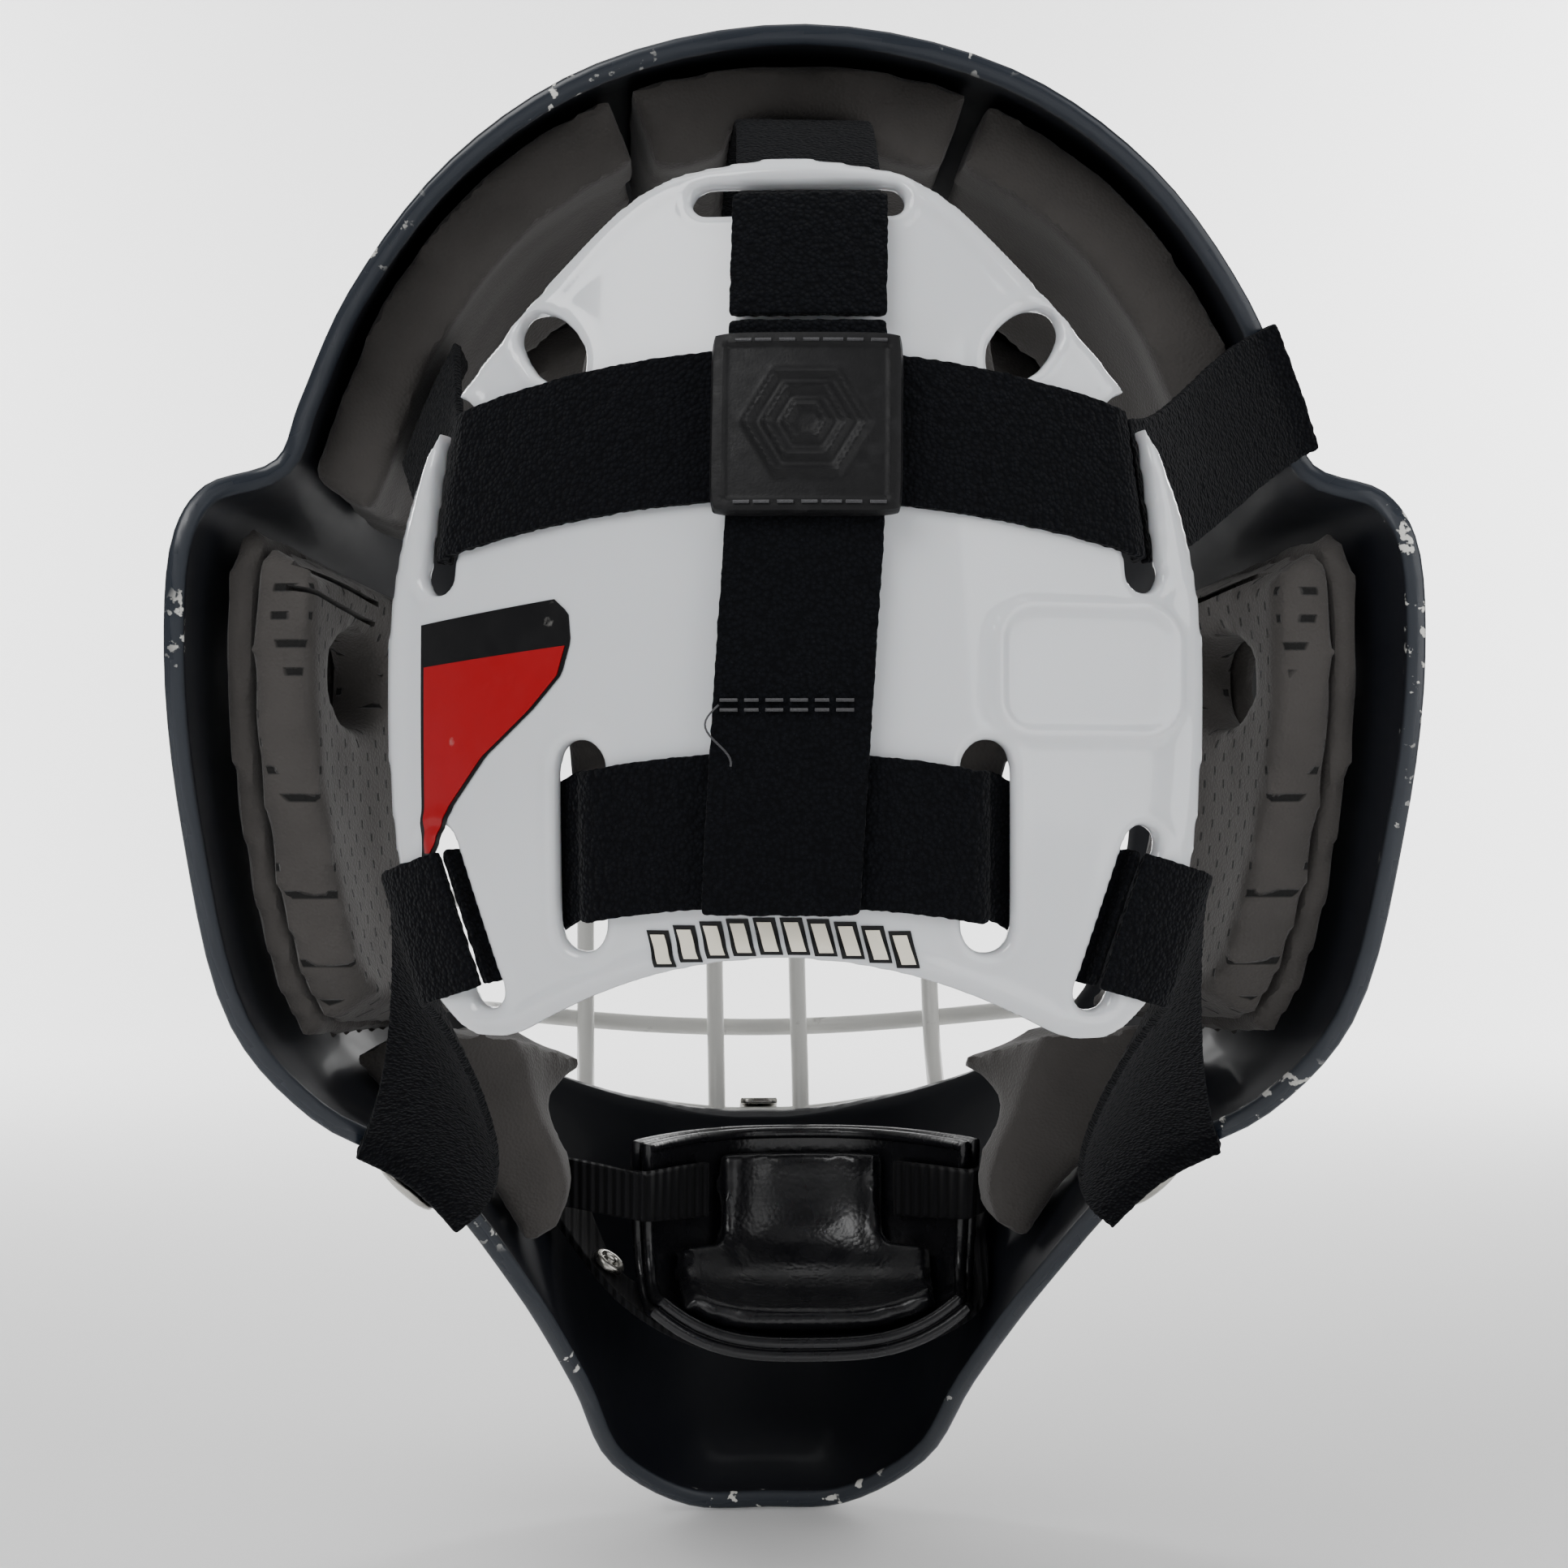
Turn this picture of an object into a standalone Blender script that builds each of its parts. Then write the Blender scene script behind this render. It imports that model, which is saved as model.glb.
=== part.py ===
"""Ice hockey goalie mask: moulded shell, wire cage, foam, chin cup, back plate and elastic harness.

Metres. The mask faces -Y with +Z up, and the origin is the middle of the wearer's head at eye
level, so +X is the wearer's left. The shell is a loft over ribs that run round each half from
the crown (rib 0) to the chin (the last rib); each rib goes from the face opening (across = 0)
to the rear rim (across = 1). Foam, clips, bolts and strap ends are placed on that surface, and
the harness on the surface of the back plate, so they follow when a size changes.
"""
import math

import bmesh
import bpy
import numpy as np
from mathutils import Matrix, Vector

# Overall sizes of the shell, outside
SHELL_WIDTH = 0.247
SHELL_HEIGHT = 0.315
SHELL_DEPTH = 0.170
SHELL_WALL = 0.004
TOUCH = 0.0003          # clearance left between pieces that touch
FLAT_ON_ROUND = 0.0008  # clearance under a flat piece on the curved shell

# Cage
WIRE = 0.0042           # wire diameter
CAGE_BULGE = 0.030      # how far the middle of the cage stands in front of its ring
CAGE_LIFT = 0.0010      # gap between the ring and the shell
CROSS_WIRES = (-0.056, -0.029, -0.002, 0.025)     # heights at the middle
CROSS_DIP = 0.008       # a cross wire is this much lower at its middle
UPRIGHTS = (0.0102, 0.042)                        # distances from the middle plane
CLIP_WIDTH = 0.009
CLIP_SHEET = 0.0014
BROW_CLIP_RIB = 2.2     # clips at the brow, one on each side and one at the chin

# Foam
FOAM_GAP = 0.0022       # hook-and-loop tape behind the pads
TOP_PAD_DEPTH = 0.017
TEMPLE_PAD_DEPTH = 0.014
CHEEK_GAP = 0.0045
CHEEK_BASE_DEPTH = 0.0055
CHEEK_PAD_DEPTH = 0.0125
JAW_PAD_DEPTH = 0.027
BROW_PAD_DEPTH = 0.010
SWEATBAND_DEPTH = 0.003
STRAP_CHANNEL = 0.0065  # depth of the channel under the top pad
TOP_PAD_RIB = 0.86
TEMPLE_RIBS = (0.98, 4.9)
CHEEK_RIBS = (6.1, 10.35)
JAW_RIBS = (10.55, 12.9)
EAR_HOLE_LENGTH = 0.028
EAR_HOLE_HEIGHT = 0.020
VENT_LENGTH = 0.0095    # half lengths of the oval vents in the shell
VENT_WIDTH = 0.004

# Back plate, in its own frame: x to the wearer's left, y outwards, z up
PLATE_WALL = 0.003
PLATE_REACH = 0.034     # its middle stands this far behind its side edges
PLATE_RADIUS = 0.095    # across the back of the head
PLATE_TOP = 0.109
PLATE_FOOT = -0.0445
PLATE_HALF_WIDTH = 0.073
PLATE_ARCH = -0.0298    # top of the arch at the bottom edge
PLATE_EDGE_Y = 0.072    # where the side edges hang in the mask frame
PLATE_SHIFT = 0.0055
PLATE_TURN = math.radians(-7.0)
PLATE_LINER_DEPTH = 0.008
SLOT_WIDTH = 0.0065
UPPER_SLOT_X = 0.0603
UPPER_SLOT_Z = 0.0505
UPPER_SLOT_LEAN = 0.136
INNER_SLOT_X = 0.0348
INNER_SLOT_Z = -0.0108
VENT_X = 0.041
VENT_Z = 0.0757
TOP_SLOT_HEIGHT = 0.101
TOP_SLOT_X = -0.0020     # its middle, towards the wearer's right like the strap in it

# Harness
WEB = 0.0258            # width of the elastic webbing
WEB_THICKNESS = 0.0016
LAY = TOUCH + WEB_THICKNESS / 2
BADGE_SIZE = 0.0305
BADGE_THICKNESS = 0.0026
BADGE_X = -0.0042
BADGE_Z = 0.0594
BOLT_HEAD_RADIUS = 0.0075
BOLT_HEAD_HEIGHT = 0.0022
BOLT_RADIUS = 0.0022

WEB_BOW = 0.0014        # clearance over flat webbing in the round of the shell
EDGE_RUN = 0.0112       # from a lower slot out to the plate's edge
CROWN_BOLT_ACROSS = 0.49
UPPER_RIM_RIBS = (3.25, 4.75)
LOWER_RIM_RIBS = (11.45, 12.45)
STRAP_END_ACROSS = 0.78
BEHIND = -PLATE_WALL - LAY - TOUCH      # height of webbing that runs behind the plate

# Chin cup, in the mask frame
CUP_SHIFT = -0.0075
CUP_HALF_WIDTH = 0.0385
CUP_WALL = 0.0035
CUP_LINER = 0.005
CUP_WRAP = 0.030
CHIN_WEB = 0.018
CHIN_STRAP_WIDTH = 0.011
SNAP_ROW = 1            # of the sling's rows between the cup and its left anchor
CHIN_STRAP_RIB = 12.55
CHIN_STRAP_ACROSS = 0.54
SLING_LIFT = 0.001      # how far the sling stands off the shell where it leaves its anchor
CHIN_ANCHOR_RIB = 12.95
CHIN_ANCHOR_ACROSS = 0.50

# The net of the shell, in mm at the nominal size: for each rib the face edge, two handles and
# the rear rim. Their order is crown, dome, temple notch, ear wing, jaw, chin.
NOMINAL = Vector((247.0, 170.0, 315.0))
SHELL_NET = (
    ((0, -125, 52), (0, -131, 105), (0, -60, 165), (0, 25, 146)),
    ((30, -122, 51), (36, -127, 103), (44, -57, 156), (40, 24.5, 138)),
    ((52, -112, 47), (60, -115, 92), (75, -50, 133), (68, 21, 120)),
    ((67, -100, 39), (76, -101, 74), (93, -42, 102), (88, 15.5, 95)),
    ((73, -94, 32), (82, -90, 53), (100, -38, 78), (98, 10, 74)),
    ((75, -92, 29), (84, -86, 46), (103, -37, 66), (102.5, 8, 63.5)),
    ((77, -90, 25), (87, -82, 38), (112, -34, 58), (116, 11, 58)),
    ((79, -88, 21), (90, -79, 30), (117, -32, 48), (121.5, 14, 49)),
    ((83, -83, 8), (96, -72, 10), (120, -30, 22), (123.5, 14, 25)),
    ((82, -84, -18), (95, -72, -18), (118, -32, -12), (120.5, 9, -10)),
    ((76, -93, -43), (89, -82, -48), (109, -38, -50), (112, 1, -48)),
    ((66, -107, -58), (79, -96, -68), (97, -48, -70), (97, -8, -67)),
    ((53, -120, -67), (65, -113, -82), (80, -66, -86), (76, -26, -81)),
    ((38, -131, -73), (49, -129, -92), (62, -88, -108), (58, -50, -107)),
    ((26, -137, -76), (34, -141, -99), (49, -113, -132), (45, -80, -134)),
    ((16, -140, -78), (22, -149, -103), (38, -134, -152), (36, -102, -156)),
    ((7, -142, -79), (10, -155, -107), (20, -146, -164), (18, -113, -168)),
    ((0, -142, -79), (0, -156, -108), (0, -149, -165), (0, -115, -169)),
)
LAST_RIB = len(SHELL_NET) - 1
SHELL_ACROSSES = (0.0, 0.05, 0.10, 0.17, 0.25, 0.34, 0.44, 0.55, 0.67, 0.79, 0.90, 1.0)

# Outline of half the back plate in mm, from the top round to the inside of the foot
PLATE_OUTLINE = (
    (0, 109), (16, 107), (24, 104.2), (32, 98.3), (40, 90), (48.5, 80.6), (56, 72), (62.3, 62.5),
    (67.5, 52), (71.3, 38), (73, 22), (72.7, 2), (71, -14), (68.5, -27), (64, -37), (57.5, -43.6),
    (52, -44.5), (47, -43.6),
)
NOMINAL_PLATE = Vector((0.073, 0.109, -0.0445))


# ---------------------------------------------------------------- scene and objects

def clear_scene():
    for thing in list(bpy.data.objects):
        bpy.data.objects.remove(thing, do_unlink=True)


def new_collection(name, hidden=False):
    made = bpy.data.collections.new(name)
    bpy.context.scene.collection.children.link(made)
    made.hide_render = hidden
    return made


def finish_material(name, colour, roughness, metallic=0.0):
    made = bpy.data.materials.new(name)
    made.use_nodes = True
    shader = made.node_tree.nodes["Principled BSDF"]
    shader.inputs["Base Color"].default_value = (*colour, 1.0)
    shader.inputs["Roughness"].default_value = roughness
    shader.inputs["Metallic"].default_value = metallic
    return made


def link_mesh(name, work, collection, material=None):
    """A new object from the bmesh, with its faces pointing out."""
    bmesh.ops.recalc_face_normals(work, faces=work.faces)
    mesh = bpy.data.meshes.new(name)
    work.to_mesh(mesh)
    work.free()
    thing = bpy.data.objects.new(name, mesh)
    collection.objects.link(thing)
    if material:
        mesh.materials.append(material)
    mesh.shade_smooth()
    mesh.set_sharp_from_angle(angle=math.radians(35))
    return thing


def make_cutter(thing):
    thing.hide_render = True
    thing.display_type = "WIRE"
    return thing


def cut(thing, cutter, operation="DIFFERENCE"):
    change = thing.modifiers.new(operation.lower() + "_" + cutter.name, "BOOLEAN")
    change.operation = operation
    change.object = cutter
    change.solver = "EXACT"


def cut_all(thing, cutters):
    change = thing.modifiers.new("cut_" + cutters.name, "BOOLEAN")
    change.operation = "DIFFERENCE"
    change.operand_type = "COLLECTION"
    change.collection = cutters
    change.solver = "EXACT"


def sheet_object(name, rows, thickness, collection, material, offset=0.0, kept=None):
    """An open surface through rows of points, thickened by Solidify. kept(row, column) says
    which of its faces there are."""
    work = bmesh.new()
    grid = [[work.verts.new(point) for point in row] for row in rows]
    for i, (low, high) in enumerate(zip(grid, grid[1:])):
        for j, (a, b, c, d) in enumerate(zip(low, low[1:], high[1:], high)):
            if kept is None or kept(i, j):
                work.faces.new((a, b, c, d))
    for corner in [vert for vert in work.verts if not vert.link_faces]:
        work.verts.remove(corner)
    thing = link_mesh(name, work, collection, material)
    thick = thing.modifiers.new("thickness", "SOLIDIFY")
    thick.thickness = thickness
    thick.offset = offset
    thick.use_even_offset = True
    return thing


def block_object(name, place, us, vs, ws, collection, material):
    """A closed block whose lattice surface points are put in space by place(u, v, w)."""
    work = bmesh.new()
    corners = {}
    sizes = (len(us) - 1, len(vs) - 1, len(ws) - 1)

    def corner(index):
        if index not in corners:
            i, j, k = index
            corners[index] = work.verts.new(place(us[i], vs[j], ws[k]))
        return corners[index]

    for axis in range(3):
        first, second = [other for other in range(3) if other != axis]
        for end in (0, sizes[axis]):
            for i in range(sizes[first]):
                for j in range(sizes[second]):
                    loop = []
                    for di, dj in ((0, 0), (1, 0), (1, 1), (0, 1)):
                        index = [0, 0, 0]
                        index[axis] = end
                        index[first] = i + di
                        index[second] = j + dj
                        loop.append(corner(tuple(index)))
                    work.faces.new(loop)
    return link_mesh(name, work, collection, material)


def steps(start, end, count):
    return [start + (end - start) * index / count for index in range(count + 1)]


def facing(origin, axis):
    """A frame at the origin with its z along the axis."""
    turn = Vector((0, 0, 1)).rotation_difference(axis).to_matrix().to_4x4()
    return Matrix.Translation(origin) @ turn


def turned(name, origin, axis, sections, collection, material, sides=12):
    """A turned piece: (distance along axis, radius) sections from one end to the other."""
    outline = [(sections[0][0], 0.0)] + sections + [(sections[-1][0], 0.0)]
    work = bmesh.new()
    corners = [work.verts.new((radius, 0, along)) for along, radius in reversed(outline)]
    for start, end in zip(corners, corners[1:]):
        work.edges.new((start, end))
    thing = link_mesh(name, work, collection, material)
    thing.matrix_world = facing(origin, axis)
    spin = thing.modifiers.new("turned", "SCREW")
    spin.steps = sides
    spin.render_steps = sides
    spin.use_merge_vertices = True
    spin.merge_threshold = 0.0001
    return thing


def bore_cutter(name, frame, radius, near, far, cutters, sides=12):
    """A cylinder along the frame's z, from near to far, for cutting with."""
    work = bmesh.new()
    middle = frame @ Matrix.Translation((0, 0, (near + far) / 2))
    bmesh.ops.create_cone(work, cap_ends=True, segments=sides, radius1=radius, radius2=radius,
                          depth=far - near, matrix=middle)
    return make_cutter(link_mesh(name, work, cutters))


# ---------------------------------------------------------------- shell surface

def scaled_net():
    scale = (SHELL_WIDTH / NOMINAL.x, SHELL_DEPTH / NOMINAL.y, SHELL_HEIGHT / NOMINAL.z)
    return np.array(SHELL_NET, float) * np.array(scale)


NET = scaled_net()
KNOTS = np.concatenate([[0.0], np.cumsum(np.sqrt(
    np.linalg.norm(np.diff(NET[:, 3], axis=0), axis=1)))])


def rib_slopes():
    """Slopes of the net's columns at each rib, level across the middle plane."""
    gaps = np.diff(KNOTS)[:, None, None]
    secants = np.diff(NET, axis=0) / gaps
    inner = (secants[:-1] * gaps[1:] + secants[1:] * gaps[:-1]) / (gaps[1:] + gaps[:-1])
    across_only = np.array([1.0, 0.0, 0.0])
    return np.concatenate([secants[:1] * across_only, inner, secants[-1:] * across_only])


SLOPES = rib_slopes()


def rib_net(rib):
    """The four net points at a rib, which can lie between two."""
    low = min(int(rib), LAST_RIB - 1)
    t = rib - low
    gap = KNOTS[low + 1] - KNOTS[low]
    return ((2 * t ** 3 - 3 * t ** 2 + 1) * NET[low] + (t ** 3 - 2 * t ** 2 + t) * gap * SLOPES[low]
            + (3 * t ** 2 - 2 * t ** 3) * NET[low + 1] + (t ** 3 - t ** 2) * gap * SLOPES[low + 1])


def bare_point(rib, across):
    net = rib_net(rib)
    s = across
    weights = np.array([(1 - s) ** 3, 3 * s * (1 - s) ** 2, 3 * s ** 2 * (1 - s), s ** 3])
    return weights @ net


def shell_frame(rib, across):
    """(point, along the rib towards the rear, outward normal) on the outside, for a signed rib:
    positive ribs are on the wearer's left and negative ones on the right."""
    side = -1.0 if rib < 0 else 1.0
    rib = abs(rib)
    step = 0.01
    before = max(rib - step, 0.0)
    after = min(rib + step, float(LAST_RIB))
    girth = bare_point(after, across) - bare_point(before, across)
    if rib < step or rib > LAST_RIB - step:
        girth *= np.array([1.0, 0.0, 0.0])
    near, far = max(min(across, 1.0) - step, 0.0), min(max(across, 0.0) + step, 1.0)
    rearward = bare_point(rib, far) - bare_point(rib, near)
    normal = np.cross(girth, rearward)
    mirror = np.array([side, 1.0, 1.0])
    point = Vector(bare_point(rib, across) * mirror)
    return point, Vector(rearward * mirror).normalized(), Vector(normal * mirror).normalized()


def shell_point(rib, across, out=0.0, rear=0.0):
    """A point out from the shell's outer face, and rear past it along the rib."""
    point, rearward, normal = shell_frame(rib, across)
    return point + normal * out + rearward * rear


def shell_inside(rib, across, depth):
    return shell_point(rib, across, -SHELL_WALL - depth)


# ---------------------------------------------------------------- back plate surface

def plate_height(x, z):
    """How far the plate's outer face stands behind its side edges, in the plate's frame."""
    bow = PLATE_RADIUS - math.sqrt(max(PLATE_RADIUS ** 2 - x ** 2, 0.0))
    return PLATE_REACH - (z - 0.015) ** 2 / 0.442 - bow


def plate_matrix():
    return Matrix.Translation((PLATE_SHIFT, PLATE_EDGE_Y, 0)) @ Matrix.Rotation(PLATE_TURN, 4, "Z")


def plate_point(x, z, out=0.0):
    """A point out from the plate's outer face, at (x, z) in the plate's frame."""
    step = 0.0005
    middle = plate_height(x, z)
    slope_x = (plate_height(x + step, z) - plate_height(x - step, z)) / (2 * step)
    slope_z = (plate_height(x, z + step) - plate_height(x, z - step)) / (2 * step)
    normal = Vector((-slope_x, 1.0, -slope_z)).normalized()
    return plate_matrix() @ (Vector((x, middle, z)) + normal * out)


def plate_arch(x):
    return PLATE_ARCH - 6.3 * x ** 2


# ---------------------------------------------------------------- pieces: shell and cage

def make_shell(collection, cutters, material):
    ribs = [index / 2 for index in range(2 * LAST_RIB + 1)]
    rows = [[shell_point(rib, across) for across in SHELL_ACROSSES] for rib in ribs]
    for row in (rows[0], rows[-1]):
        for point in row:
            point.x = 0.0
    shell = sheet_object("shell", rows, SHELL_WALL, collection, material, offset=-1.0)
    mirror = shell.modifiers.new("other_half", "MIRROR")
    mirror.use_clip = True
    mirror.merge_threshold = 0.0001
    shell.modifiers.move(1, 0)
    cut_all(shell, cutters)
    return shell


def drill(name, rib, across, radius, cutters, reach=0.012, sides=12, stretch=1.0):
    """A round hole through the shell, or an oval one, stretched round the shell's girth."""
    point, rearward, normal = shell_frame(rib, across)
    up = normal.cross(rearward).normalized()
    frame = Matrix((rearward, up, normal)).transposed().to_4x4()
    frame.translation = point
    oval = Matrix.Diagonal((1.0, stretch, 1.0, 1.0))
    return bore_cutter(name, frame @ oval, radius, -reach, reach, cutters, sides)


def make_shell_holes(cutters):
    for side, word in ((1, "left"), (-1, "right")):
        drill("ear_vent_" + word, side * 8.0, 0.62, EAR_HOLE_LENGTH * 0.4, cutters, sides=16,
              stretch=EAR_HOLE_HEIGHT / EAR_HOLE_LENGTH)
        for place, across in (("brow", 0.36), ("crown", 0.55)):
            drill(f"{place}_vent_{word}", side * 1.3, across, VENT_LENGTH, cutters,
                  stretch=VENT_WIDTH / VENT_LENGTH)
        drill("jaw_vent_" + word, side * 13.2, 0.30, VENT_WIDTH, cutters,
              stretch=VENT_LENGTH / VENT_WIDTH)
    for word, rib in clip_places():
        drill("clip_hole_" + word, rib, clip_across(rib), BOLT_RADIUS + TOUCH, cutters)
    for word, rib, across in bolt_places():
        drill("bolt_hole_" + word, rib, across, BOLT_RADIUS + TOUCH, cutters)


def ring_point(rib, lift=0.0):
    """The middle of the cage's ring, which lies on the shell round the face opening."""
    return shell_point(rib, 0.03, WIRE / 2 + CAGE_LIFT + lift)


def rib_at_height(height):
    """The rib at which the ring passes a height, between the brow and the jaw."""
    low, high = 1.0, LAST_RIB - 1.0
    for _ in range(30):
        middle = (low + high) / 2
        if ring_point(middle).z > height:
            low = middle
        else:
            high = middle
    return low


def cage_wire_point(x, height):
    """A point of the cage's bowed surface, on the wire of that height."""
    rib = rib_at_height(height)
    end = ring_point(rib)
    ratio = min(abs(x) / end.x, 1.0)
    front = ring_point(0.0).y + (ring_point(LAST_RIB).y - ring_point(0.0).y) * (
        (ring_point(0.0).z - height) / (ring_point(0.0).z - ring_point(LAST_RIB).z))
    front -= CAGE_BULGE * math.sin(math.pi * min(max(
        (ring_point(0.0).z - height) / (ring_point(0.0).z - ring_point(LAST_RIB).z), 0.0), 1.0))
    share = (1 - ratio ** 2.3) ** (1 / 1.8)
    dip = CROSS_DIP * (1 - ratio ** 2)
    return Vector((x, end.y + (front - end.y) * share, height + CROSS_DIP / 2 - dip))


def tube(name, points, radius, collection, material, cyclic=False, resolution=2):
    curve = bpy.data.curves.new(name, "CURVE")
    curve.dimensions = "3D"
    curve.bevel_depth = radius
    curve.bevel_resolution = resolution
    curve.use_fill_caps = not cyclic
    line = curve.splines.new("POLY")
    line.points.add(len(points) - 1)
    for spot, point in zip(line.points, points):
        spot.co = (*point, 1.0)
    line.use_cyclic_u = cyclic
    guide = bpy.data.objects.new(name, curve)
    collection.objects.link(guide)
    bpy.context.view_layer.update()
    graph = bpy.context.evaluated_depsgraph_get()
    mesh = bpy.data.meshes.new_from_object(guide.evaluated_get(graph))
    bpy.data.objects.remove(guide, do_unlink=True)
    work = bmesh.new()
    work.from_mesh(mesh)
    bpy.data.meshes.remove(mesh)
    bmesh.ops.remove_doubles(work, verts=work.verts, dist=0.00001)
    return link_mesh(name, work, collection, material)


def cross_wire_points(height):
    rib = rib_at_height(height)
    end = ring_point(rib)
    xs = [end.x * math.sin(math.pi / 2 * step) for step in steps(-1.0, 1.0, 20)]
    return [cage_wire_point(x, height) for x in xs]


def upright_points(x):
    """A vertical wire behind the cross wires, from the ring at the brow to the ring at the chin."""
    brow = rib_across_x(x, 0.0, 4.0)
    chin = rib_across_x(x, LAST_RIB - 0.01, 11.0)
    top, bottom = ring_point(brow), ring_point(chin)
    tuck = Vector((0, WIRE * 0.7, 0))
    count = 12
    points = [top]
    for index in range(1, count):
        height = top.z + (bottom.z - top.z) * index / count
        spot = cage_wire_point(x, height) + tuck
        spot.z = height
        points.append(spot)
    return points + [bottom]


def rib_across_x(x, near, far):
    """The rib between near and far at which the ring is x from the middle plane."""
    for _ in range(30):
        middle = (near + far) / 2
        if ring_point(middle).x < x:
            near = middle
        else:
            far = middle
    return near


def make_cage(collection, cutters, material):
    ring_ribs = steps(0.0, LAST_RIB, 34)
    half = [ring_point(rib) for rib in ring_ribs]
    half[0].x = half[-1].x = 0.0
    other = [Vector((-point.x, point.y, point.z)) for point in half[-2:0:-1]]
    ring = tube("cage", half + other, WIRE / 2, collection, material, cyclic=True)
    wires = [cross_wire_points(height) for height in CROSS_WIRES]
    for x in UPRIGHTS:
        line = upright_points(x)
        wires += [line, [Vector((-point.x, point.y, point.z)) for point in line]]
    for index, line in enumerate(wires):
        wire = tube(f"cage_wire_{index}", line, WIRE / 2, cutters, None)
        cut(ring, make_cutter(wire), "UNION")
    return ring


def clip_places():
    side_rib = rib_at_height((CROSS_WIRES[1] + CROSS_WIRES[2] + CROSS_DIP) / 2)
    places = [("chin", float(LAST_RIB))]
    for word, rib in (("brow", BROW_CLIP_RIB), ("side", side_rib)):
        places += [(word + "_left", rib), (word + "_right", -rib)]
    return places


def clip_across(rib):
    """Where the clip's screw sits: the same distance from the ring on each rib."""
    start = shell_point(rib, 0.03)
    across = 0.03
    while (shell_point(rib, across) - start).length < 0.0135:
        across += 0.002
    return across


def ring_direction(rib):
    if abs(rib) > LAST_RIB - 0.1:
        return Vector((1, 0, 0))
    return (ring_point(rib + 0.1) - ring_point(rib - 0.1)).normalized()


def make_clip(word, rib, collection, cutters, material):
    """A bent strip, square to the cage's ring, that holds it to the shell."""
    screw = clip_across(rib)
    point, rearward, normal = shell_frame(rib, screw)
    ring = ring_point(rib)
    beside = ring_direction(rib)
    normal = (normal - beside * normal.dot(beside)).normalized()
    square = beside.cross(normal)
    rearward = square if square.dot(rearward) > 0 else -square
    reach = (ring - point).dot(rearward)
    height = (ring - point).dot(normal)
    half = WIRE / 2 + 3 * TOUCH + CLIP_SHEET / 2
    low = FLAT_ON_ROUND + CLIP_SHEET / 2
    profile = [(0.0055, low), (reach + half + 0.0025, low), (reach + half, height)]
    profile += [(reach + half * math.cos(angle), height + half * math.sin(angle))
                for angle in (math.pi / 4, math.pi / 2, 3 * math.pi / 4)]
    profile += [(reach - half, height)]
    rows = []
    for along, up in profile:
        middle = point + rearward * along + normal * up
        rows.append([middle - beside * CLIP_WIDTH / 2, middle + beside * CLIP_WIDTH / 2])
    clip = sheet_object("cage_clip_" + word, rows, CLIP_SHEET, collection, material)
    cut(clip, bore_cutter("clip_bore_" + word, facing(point, normal), BOLT_RADIUS + TOUCH,
                          -0.004, 0.006, cutters))


def make_clip_screw(word, rib, collection, material):
    point, _, normal = shell_frame(rib, clip_across(rib))
    seat = FLAT_ON_ROUND + CLIP_SHEET + TOUCH
    sections = [(-SHELL_WALL + TOUCH, BOLT_RADIUS), (seat, BOLT_RADIUS), (seat, 0.0042),
                (seat + 0.0012, 0.0042), (seat + 0.0022, 0.0026)]
    turned("cage_screw_" + word, point, normal, sections, collection, material)


def make_nut(name, rib, across, collection, material, under=0.0):
    """A flanged nut on the inside of the shell, or further in under webbing."""
    point, _, normal = shell_frame(rib, across)
    near = SHELL_WALL + FLAT_ON_ROUND + under
    sections = [(-near - 0.0011, 0.0042), (-near, 0.0050)]
    turned(name, point, normal, sections, collection, material)


# ---------------------------------------------------------------- pieces: foam

def shell_pad(name, ribs, acrosses, lift, depth, collection, material, counts=(8, 4), shape=None):
    """Foam on the inside of the shell over a range of ribs and of the way across. shape(u, v)
    gives its share of the depth, and where it ends between the two acrosses."""
    def place(u, v, w):
        start, end, share = shape(u, v) if shape else (acrosses[0], acrosses[1], 1.0)
        return shell_inside(u, start + (end - start) * v, lift + depth * w * share)
    return block_object(name, place, steps(ribs[0], ribs[1], counts[0]),
                        steps(0.0, 1.0, counts[1]), (0.0, 1.0), collection, material)


def make_top_pad(collection, material):
    half_channel = WEB / 2 + 0.004
    edge = NET[1, 3, 0]
    channel = half_channel / edge

    def place(u, v, w):
        inside_channel = abs(u) < channel
        depth = TOP_PAD_DEPTH - (STRAP_CHANNEL if inside_channel else 0.0)
        return shell_inside(u, 0.60 + 0.33 * v, FOAM_GAP + depth * w)
    step = 0.012
    right = steps(-TOP_PAD_RIB, -channel - step, 3)
    middle = steps(-channel + step, channel - step, 4)
    left = steps(channel + step, TOP_PAD_RIB, 3)
    return block_object("top_pad", place, right + middle + left, steps(0, 1, 4), (0, 1),
                        collection, material)


def make_temple_pads(collection, material):
    for side, word in ((1, "left"), (-1, "right")):
        shell_pad("temple_pad_" + word, [side * rib for rib in TEMPLE_RIBS], (0.52, 0.93),
                  FOAM_GAP, TEMPLE_PAD_DEPTH, collection, material, (9, 4))


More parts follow.
